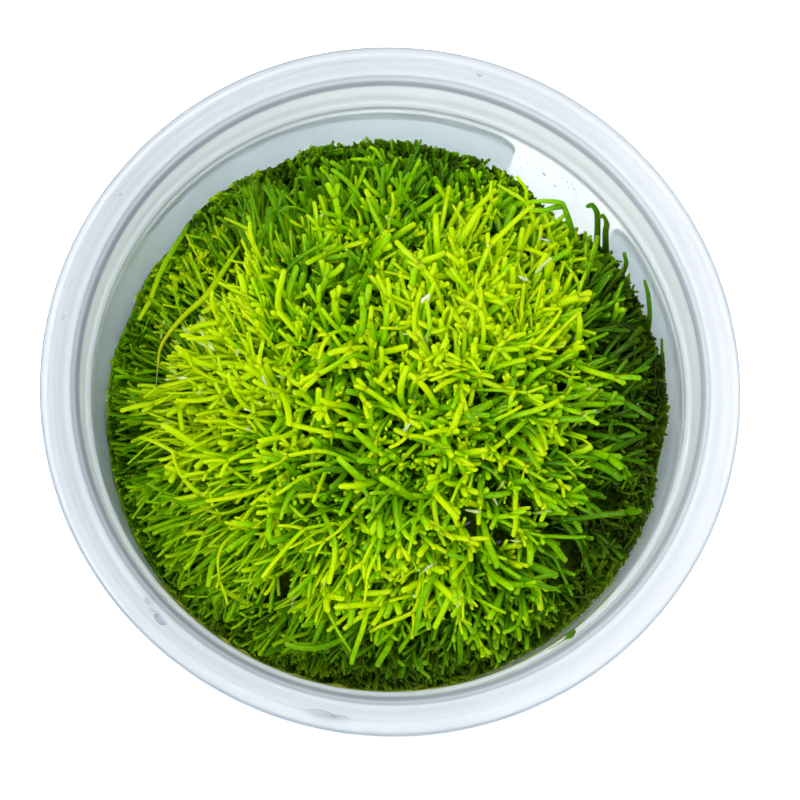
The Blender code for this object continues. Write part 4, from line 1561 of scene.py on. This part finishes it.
@dataclass
class Wetness:
    """Water on the growth and the cup: films and drops on the thalli, bubbles, beads, drops on wall and rim.

    Args:
        cup: The cup.
        form: The form that the thalli grow on.
        lying: (k, 3) points of all the thalli, on which the water lies.
        films: Place, length, width, heading in degrees and whiteness of each film's painted highlight.
        glints: Place and radius of each small drop that is painted white as a glint.
        bubbles: Place and radius of each air bubble.
        dewy: Places round which tiny beads sit.
    """

    cup: CupShell
    form: CushionForm
    lying: np.ndarray
    films: tuple[tuple[float, float, float, float, float, float], ...] = (
        (-26.6, 12.6, 3.2, 0.88, 125.0, 0.3), (-24.4, 14.5, 1.2, 0.58, 130.0, 0.3),
        (-28.1, 9.8, 5.4, 0.73, 136.0, 0.5), (-26.2, 9.2, 3.8, 0.73, 124.0, 0.5),
        (-30.9, 10.7, 1.8, 0.73, 150.0, 0.2), (-33.0, 11.9, 1.5, 0.73, 80.0, 0.2),
        (-32.7, 13.5, 0.9, 0.58, 70.0, 0.2), (-35.8, 10.1, 1.2, 0.73, 30.0, 0.1),
        (-31.1, 5.4, 2.0, 1.17, 120.0, 0.4), (-29.9, 3.8, 1.8, 0.73, 165.0, 0.5),
        (-32.1, 3.8, 0.7, 0.58, 0.0, 0.4), (-27.1, 1.4, 1.2, 0.88, 30.0, 0.5),
        (-31.8, -2.2, 1.6, 0.58, 170.0, 0.3), (-26.4, 5.2, 1.3, 0.44, 160.0, 0.3),
        (-17.8, 2.7, 1.9, 0.44, 120.0, 0.8), (-15.7, 4.0, 1.6, 0.44, 160.0, 0.4),
        (-18.5, -0.1, 1.5, 0.44, 150.0, 0.4), (5.3, 14.6, 1.6, 0.88, 40.0, 0.8),
        (5.7, 8.6, 1.3, 0.73, 120.0, 0.8), (2.9, 9.8, 1.9, 0.44, 165.0, 0.6),
        (-22.4, 10.6, 1.2, 0.58, 95.0, 0.5), (-21.9, 7.2, 1.3, 0.58, 85.0, 0.7),
        (-16.6, 1.3, 1.5, 0.58, 140.0, 0.4), (-20.2, -3.9, 0.9, 0.58, 20.0, 0.9),
        (2.5, -4.5, 1.3, 0.73, 30.0, 0.8), (-20.4, -0.9, 1.2, 0.44, 160.0, 0.4),
        (16.7, 28.1, 2.0, 0.44, 85.0, 0.5), (14.5, 22.3, 1.6, 0.44, 90.0, 0.5),
        (23.2, 24.8, 1.9, 0.44, 170.0, 0.9), (22.6, 20.0, 2.9, 0.58, 38.0, 0.7),
        (19.8, 18.2, 1.6, 0.73, 165.0, 0.7), (23.9, 16.8, 0.7, 0.44, 20.0, 0.6),
        (21.2, 23.5, 0.9, 0.44, 60.0, 0.5), (-10.2, 27.7, 1.5, 0.73, 160.0, 0.5),
        (-0.0, 27.3, 1.0, 0.73, 150.0, 0.3), (-6.8, -24.1, 1.5, 0.44, 95.0, 0.4),
        (-13.6, -29.2, 1.2, 0.44, 70.0, 0.7), (5.8, -24.5, 2.2, 0.58, 35.0, 0.7),
        (10.0, -29.4, 2.0, 0.73, 85.0, 0.6), (-9.0, -26.7, 1.3, 0.44, 60.0, 0.4),
        (30.2, -1.6, 1.6, 0.58, 33.0, 0.7), (27.8, -2.7, 2.3, 0.58, 30.0, 0.5),
        (29.2, 1.6, 1.5, 0.44, 10.0, 0.4), (26.7, 0.6, 1.3, 0.44, 0.0, 0.3),
        (16.3, -12.4, 1.0, 0.88, 30.0, 0.4), (15.6, -14.1, 2.2, 0.58, 115.0, 0.5),
        (12.4, -16.0, 2.5, 0.58, 172.0, 0.6), (11.8, -17.2, 1.6, 0.44, 35.0, 0.9),
        (16.6, -19.5, 1.3, 0.58, 30.0, 0.9), (19.5, -14.2, 1.2, 0.44, 60.0, 0.7),
        (26.5, -12.0, 1.8, 0.44, 175.0, 0.5), (22.2, -16.0, 2.3, 0.58, 172.0, 0.5),
        (18.5, -20.4, 1.9, 0.44, 178.0, 0.4), (6.8, -24.4, 0.9, 0.58, 20.0, 0.6),
        (34.5, -15.6, 1.6, 0.44, 155.0, 0.4), (10.9, -31.0, 0.7, 0.58, 60.0, 0.9),
    )
    glints: tuple[tuple[float, float, float], ...] = (
        (-26.9, 12.2, 0.22), (-29.2, 3.9, 0.30), (-30.8, 0.7, 0.30), (-21.7, 3.4, 0.15), (-15.9, 3.9, 0.15),
        (-17.5, 2.3, 0.14), (1.2, 10.8, 0.16), (3.4, 17.7, 0.12), (1.7, 0.5, 0.16), (2.5, -4.7, 0.18),
        (23.8, 24.8, 0.18), (15.4, 20.9, 0.14), (28.1, 17.8, 0.13), (-13.0, -27.2, 0.14), (3.8, -28.4, 0.18),
        (4.5, -24.7, 0.16), (2.3, -23.3, 0.16), (1.2, -31.1, 0.17), (0.1, -35.0, 0.14), (11.4, -34.1, 0.13),
        (25.7, 8.4, 0.16), (26.2, -4.0, 0.15), (37.0, 0.8, 0.17), (34.4, -1.4, 0.12), (37.4, -5.1, 0.18),
        (23.8, -10.6, 0.18), (29.1, -23.2, 0.15), (11.7, -34.1, 0.13), (16.3, -19.6, 0.20),
        (11.9, -17.1, 0.20), (5.7, 14.5, 0.20), (5.8, 8.2, 0.20), (-22.0, 6.9, 0.16), (-26.5, 9.3, 0.14),
        (-26.0, 8.9, 0.12), (5.9, -24.3, 0.16), (-20.1, -3.8, 0.16), (30.4, -1.3, 0.16), (10.0, -29.8, 0.15),
        (19.9, 18.1, 0.20),
    )
    bubbles: tuple[tuple[float, float, float], ...] = (
        (5.8, -26.0, 0.62), (6.5, -26.0, 0.40), (24.7, -18.9, 0.34), (24.3, -19.6, 0.30), (25.2, -19.4, 0.26),
        (-29.8, 3.5, 0.35), (16.3, -12.5, 0.45), (-6.1, 1.9, 0.30),
    )
    dewy: tuple[tuple[float, float], ...] = (
        (-14.8, 21.3), (-16.4, 18.2), (-13.0, 15.6), (-18.3, 22.1), (0.6, 22.5), (3.1, 20.7),
        (-6.1, 2.9), (-4.8, 0.4), (-12.7, 11.0), (-2.2, 1.3), (-20.4, 31.2), (-25.1, 27.9),
        (-13.9, 34.8), (14.2, 31.6), (28.6, -3.4), (25.4, 3.6), (16.5, -22.6), (6.4, -28.4),
        (-8.3, 31.6), (1.4, 33.1),
    )
    film_fade: float = 0.08
    bead_radius: tuple[float, float] = (0.07, 0.14)
    spread: float = 2.4
    stray_share: float = 0.25
    stray_spread: float = 18.0
    reach: float = 38.5
    seed: int = 31

    def top(self, flat: np.ndarray, reach: float = 0.6) -> np.ndarray:
        """Height of the highest thallus point near each (n, 2) place, or of the mat where none is."""
        heights = self.form.height(flat) - 2.0
        for start in range(0, len(flat), 200):
            part = flat[start : start + 200]
            apart = ((part[:, None] - self.lying[None, :, :2]) ** 2).sum(-1)
            near = np.where(apart < reach**2, self.lying[None, :, 2], 0.0).max(axis=1)
            heights[start : start + 200] = np.maximum(heights[start : start + 200], near)
        return heights

    def gleams(self) -> bpy.types.Object:
        """Films that lie on the thalli, and small drops, painted pale to white as highlights and glints.

        A film is a flat tube on a straight line. The line has the slope and the height of the
        thalli's tops under it, by least squares. At the place t it is w sqrt(1 - (2t-1)^2) wide,
        with a wave of a quarter of that.
        """
        films = np.array(self.films)
        t = np.linspace(0.0, 1.0, 12)
        heading = np.radians(films[:, 4])
        offset = (t - 0.5)[None] * films[:, 2:3]
        bow = 0.12 * films[:, 2:3] * (0.25 - (t - 0.5)[None] ** 2)
        flat = np.stack(
            [
                films[:, 0:1] + offset * np.cos(heading)[:, None] - bow * np.sin(heading)[:, None],
                films[:, 1:2] + offset * np.sin(heading)[:, None] + bow * np.cos(heading)[:, None],
            ],
            axis=-1,
        )
        tops = self.top(flat.reshape(-1, 2)).reshape(len(films), len(t))
        middle = tops.mean(axis=1, keepdims=True)
        slope = ((tops - middle) * (t - 0.5)).sum(axis=1, keepdims=True) / ((t - 0.5) ** 2).sum()
        high = middle + slope * (t - 0.5) + 0.15 + 0.4 * tops.std(axis=1, keepdims=True)
        paths = np.concatenate([flat, high[..., None]], axis=-1)
        wave = 1.0 + 0.25 * np.sin(9.0 * t[None] + 7.0 * films[:, 0:1])
        widths = 0.8 * films[:, 3:4] * np.sqrt(np.clip(1.0 - (2 * t[None] - 1) ** 2, 0.02, 1.0)) * wave
        film = tubes(paths, widths, np.full(len(films), 0.3), np.zeros(len(films)), 8)
        # the films' painted highlight, by their whiteness
        white = np.repeat(films[:, 5] - self.film_fade, len(film.points) // len(films))
        film.growth = white[:, None] * np.ones(3)
        spots = np.array(self.glints)
        seat = np.column_stack([spots[:, :2], self.top(spots[:, :2], 0.4) + 0.15])
        drops = beaded(ball(10, 6), seat, 0.9 * spots[:, 2])
        # the drops are painted white as glints
        drops.growth = np.full((len(drops.points), 3), 1.3)
        return settle(make_object("water_gleams", joined([film, drops]), PaintedGleamFinish().material()), "gel")

    def air(self) -> bpy.types.Object:
        """Air bubbles between the thalli, as clear balls that stand out by more than half."""
        round_ones = np.array(self.bubbles)
        seat = np.column_stack([round_ones[:, :2], self.top(round_ones[:, :2], 0.3) + 0.5 * round_ones[:, 2]])
        balls = beaded(ball(20, 12), seat, round_ones[:, 2])
        return settle(make_object("water_bubbles", balls, WaterFinish().material()), "gel")

    def beads(self, count: int = 1600) -> bpy.types.Object:
        """Tiny beads, in a normal scatter round the dewy places, and some all over, painted pale green to
        white as glints.
        """
        rng = np.random.default_rng(self.seed + 1)
        places = np.array(self.dewy)
        flat = places[rng.integers(0, len(places), count)] + rng.normal(0.0, self.spread, (count, 2))
        loose = rng.uniform(size=count) < self.stray_share
        flat[loose] = rng.normal(0.0, self.stray_spread, (int(loose.sum()), 2))
        flat *= np.minimum(1.0, self.reach / np.linalg.norm(flat, axis=-1, keepdims=True))
        radius = rng.uniform(*self.bead_radius, count)
        seat = np.column_stack([flat, self.top(flat, 0.25) + 0.12])
        surface = beaded(ball(5, 3), seat, radius)
        # painted glints: each bead's whiteness
        white = np.repeat(rng.uniform(-0.25, 0.35, count), len(surface.points) // count)
        surface.growth = white[:, None] * np.ones(3)
        return settle(make_object("tip_beads", surface, PaintedGleamFinish().material()), "gel")

    def wall_drops(self) -> bpy.types.Object:
        """Drops on the inner wall, the collar and the rim, as caps that bulge from the face they cling to.

        Wall drops lie at azimuth a and height z on the radius R(z), with their normal towards the
        axis, and run slanting down the wall. Rim drops lie flat on the rim.
        """
        rng = np.random.default_rng(self.seed + 2)
        placed = np.array(
            [
                (62.4, 40.3, 0.14, 0.1), (60.3, 39.9, 0.2, 0.11), (61.3, 36.8, 0.14, 0.1),
                (56.4, 39.5, 0.5, 0.22), (53.4, 38.1, 0.34, 0.16), (52.7, 42.5, 0.16, 0.1),
                (51.5, 42.6, 0.26, 0.13), (50.7, 40.7, 0.2, 0.1), (50.4, 43.1, 0.2, 0.1),
                (49.5, 42.0, 0.26, 0.12), (57.2, 40.8, 0.14, 0.08), (57.5, 37.6, 0.14, 0.08),
                (54.6, 41.0, 0.12, 0.08), (48.6, 41.2, 0.14, 0.08), (51.9, 39.9, 0.12, 0.08),
                (58.6, 42.1, 0.12, 0.08), (43.6, 46.2, 0.2, 0.1), (46.2, 43.6, 0.12, 0.08),
                (187.7, 40.0, 0.3, 0.2), (150.0, 42.0, 0.2, 0.14),
            ]
        )
        azimuth, z, long, width = np.radians(placed[:, 0]), placed[:, 1], placed[:, 2], placed[:, 3]
        count = len(placed)
        wall = polar(self.cup.inside(z), azimuth, z)
        inward = polar(-1.0, azimuth, 0.1)
        around = np.stack([np.sin(azimuth), -np.cos(azimuth), rng.uniform(-1.6, -0.4, count)], axis=-1)
        size = np.stack([long, width, width * 0.6], axis=-1)
        wall_part = stamped(ball(14, 6, -0.2), wall, frames_on(unit(inward), around), size)
        spots = np.array(
            [
                (-34.0, -31.0, 0.9, 0.6), (-32.4, -33.6, 1.1, 0.7), (-33.4, -32.2, 0.5, 0.4),
                (-10.0, -47.0, 2.4, 0.7), (-7.2, -47.5, 1.6, 0.5), (5.3, -48.2, 0.5, 0.4),
                (12.7, 45.9, 0.4, 0.3), (43.0, 23.6, 0.3, 0.2), (40.2, 28.9, 0.3, 0.25),
                (46.3, -12.4, 0.3, 0.2), (-46.8, 9.5, 0.35, 0.25), (-38.9, 27.5, 0.3, 0.2),
            ]
        )
        place = np.column_stack([spots[:, :2], np.full(len(spots), self.cup.height - 0.12)])
        along = np.column_stack([-spots[:, 1], spots[:, 0], np.zeros(len(spots))])
        up = np.tile(np.array([0.0, 0.0, 1.0]), (len(spots), 1))
        flat_size = np.column_stack([spots[:, 2], spots[:, 3], np.full(len(spots), 0.14)])
        rim_part = stamped(ball(18, 6, -0.2), place, frames_on(up, unit(along)), flat_size)
        settle(make_object("rim_drops", rim_part, WaterFinish((0.88, 0.92, 0.95)).material()), "gel")
        # the wall drops' water is tinted dark grey-blue as painted shade
        return settle(make_object("wall_drops", wall_part, WaterFinish((0.35, 0.42, 0.47)).material()), "gel")

    def fringe(self) -> bpy.types.Object:
        """The thin wet line along the near wall, under the ledge, with a few bulges at its left end.

        Its tube follows the wall at azimuth a, and its width is 0.2 + 0.12 sin^2 of two waves,
        plus bulges 0.5 exp(-((a - middle)/1.2)^2).
        """
        degrees = np.linspace(212.0, 322.0, 260)
        z = 46.5 + 0.12 * np.sin(0.21 * degrees) + 0.08 * np.sin(0.9 * degrees)
        width = 0.2 + 0.12 * np.sin(0.5 * degrees) ** 2 * np.sin(0.13 * degrees) ** 2
        bulges = ((221.0, 0.35), (225.5, 0.5), (236.5, 0.45), (241.0, 0.5), (252.0, 0.4), (260.0, 0.5))
        for middle, gain in bulges:
            width += gain * np.exp(-(((degrees - middle) / 1.2) ** 2))
        width *= np.clip(np.minimum(degrees - 211.5, 322.5 - degrees) / 6.0, 0.1, 1.0)
        angle = np.radians(degrees)
        radius = self.cup.inside(z) - width * 0.3
        path = polar(radius, angle, z)
        surface = tubes(path[None], width[None], np.array([0.9]), np.array([0.0]), 8)
        return settle(make_object("wet_fringe", surface, FringeFinish().material()), "gel")

    def build(self) -> None:
        """Makes all the water."""
        self.gleams()
        self.air()
        self.beads()
        self.wall_drops()
        self.fringe()


# The studio


@dataclass
class Camera:
    """The photograph's view: looking down, eleven degrees off the cup's axis."""

    distance: float = 550.0
    tilt: float = math.radians(11.06)
    toward: tuple[float, float] = (-0.26, -0.9656)
    look_at: float = 55.0
    pixels_per_mm: float = 7.036
    centre: tuple[float, float] = (391.96, 385.3)
    picture: float = 800.0
    sensor: float = 36.0

    def build(self) -> None:
        """Places the camera and sets its lens, so that the rim's middle falls where the photograph has it."""
        x, y = self.toward
        back = Vector((math.sin(self.tilt) * x, math.sin(self.tilt) * y, math.cos(self.tilt)))
        right = Vector((0.0, 1.0, 0.0)).cross(back).normalized()
        up = back.cross(right)
        aim = Vector((0.0, 0.0, self.look_at))
        aim += right * (self.picture / 2 - self.centre[0]) / self.pixels_per_mm
        aim -= up * (self.picture / 2 - self.centre[1]) / self.pixels_per_mm
        place = (aim + back * self.distance) * MM
        data = bpy.data.cameras.new("camera")
        data.lens = self.pixels_per_mm * self.distance * self.sensor / self.picture
        data.sensor_width = self.sensor
        data.clip_start = 0.01
        data.clip_end = 20.0
        camera = bpy.data.objects.new("camera", data)
        camera.matrix_world = Matrix((
            (right.x, up.x, back.x, place.x),
            (right.y, up.y, back.y, place.y),
            (right.z, up.z, back.z, place.z),
            (0.0, 0.0, 0.0, 1.0),
        ))
        bpy.context.scene.collection.objects.link(camera)
        bpy.context.scene.camera = camera


@dataclass
class Studio:
    """A plain pale floor under soft lights."""

    floor_size: float = 3.0

    def floor(self) -> None:
        """The floor, a flat pale square."""
        half = self.floor_size / 2 / MM
        points = np.array([(-half, -half, 0.0), (half, -half, 0.0), (half, half, 0.0), (-half, half, 0.0)])
        table = NodeTable("pale_floor")
        table.plain(Base_Color=(0.93, 0.94, 0.95), Roughness=0.8)
        table.plain(Emission_Color=(0.96, 0.98, 1.0), Emission_Strength=1.9)
        square = Surface(points, np.array([[0, 1, 2, 3]]), np.zeros((0, 3), int))
        make_object("floor", square, table.material)

    def light(
        self, name: str, azimuth: float, elevation: float, distance: float, size: float, watts: float,
        colour: Colour, glints: bool = False,
    ) -> None:
        """A square soft light that faces the cup.

        Args:
            name: Its name.
            azimuth: Where it stands, in degrees from +X towards +Y.
            elevation: Its height above the horizon, in degrees.
            distance: Its distance from the cup, in metres.
            size: Its side, in metres.
            watts: Its power.
            colour: Its colour.
            glints: Whether it shows only in what shines.
        """
        data = bpy.data.lights.new(name, "AREA")
        data.shape = "SQUARE"
        data.size = size
        data.energy = watts
        data.color = colour
        lamp = bpy.data.objects.new(name, data)
        a, e = math.radians(azimuth), math.radians(elevation)
        way = Vector((math.cos(e) * math.cos(a), math.cos(e) * math.sin(a), math.sin(e)))
        lamp.location = way * distance + Vector((0.0, 0.0, 0.04))
        lamp.rotation_euler = way.to_track_quat("Z", "Y").to_euler()
        lamp.visible_diffuse = not glints
        lamp.visible_transmission = not glints
        bpy.context.scene.collection.objects.link(lamp)

    def world(self, colour: Colour, strength: float) -> None:
        """An even sky."""
        world = bpy.data.worlds.new("studio")
        world.use_nodes = True
        background = world.node_tree.nodes["Background"]
        background.inputs["Color"].default_value = (*colour, 1.0)
        background.inputs["Strength"].default_value = strength
        bpy.context.scene.world = world

    def build(self) -> None:
        """Lays the floor, hangs the lights and sets how the render shows their range."""
        self.floor()
        self.light("key", 205.0, 48.0, 0.9, 0.8, 3.3, (1.0, 0.99, 0.96))
        self.light("overhead", 60.0, 75.0, 1.2, 0.9, 3.0, (0.96, 0.98, 1.0))
        self.light("sparkle", 202.0, 60.0, 0.9, 0.07, 6.0, (1.0, 1.0, 1.0), glints=True)
        self.world((0.95, 0.97, 1.0), 0.7)
        bpy.context.scene.view_settings.view_transform = "Standard"


def main() -> None:
    """Builds the cup, the riccia and the studio in order."""
    logging.basicConfig(level=logging.INFO, format="%(message)s")
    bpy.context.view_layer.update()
    Camera().build()
    Studio().build()
    cup = CupShell()
    cup.build()
    WrapLabel(cup).build()
    GelBed(cup).build()
    form = CushionForm(cup)
    form.mat()
    grown = stands()
    for stand in grown:
        stand.build(form)
    for strand in LOOSE + STRAYS:
        strand.build()
    ThallusScrap().build()
    Wetness(cup, form, np.concatenate([stand.lying for stand in grown])).build()


if __name__ == "__main__":
    main()
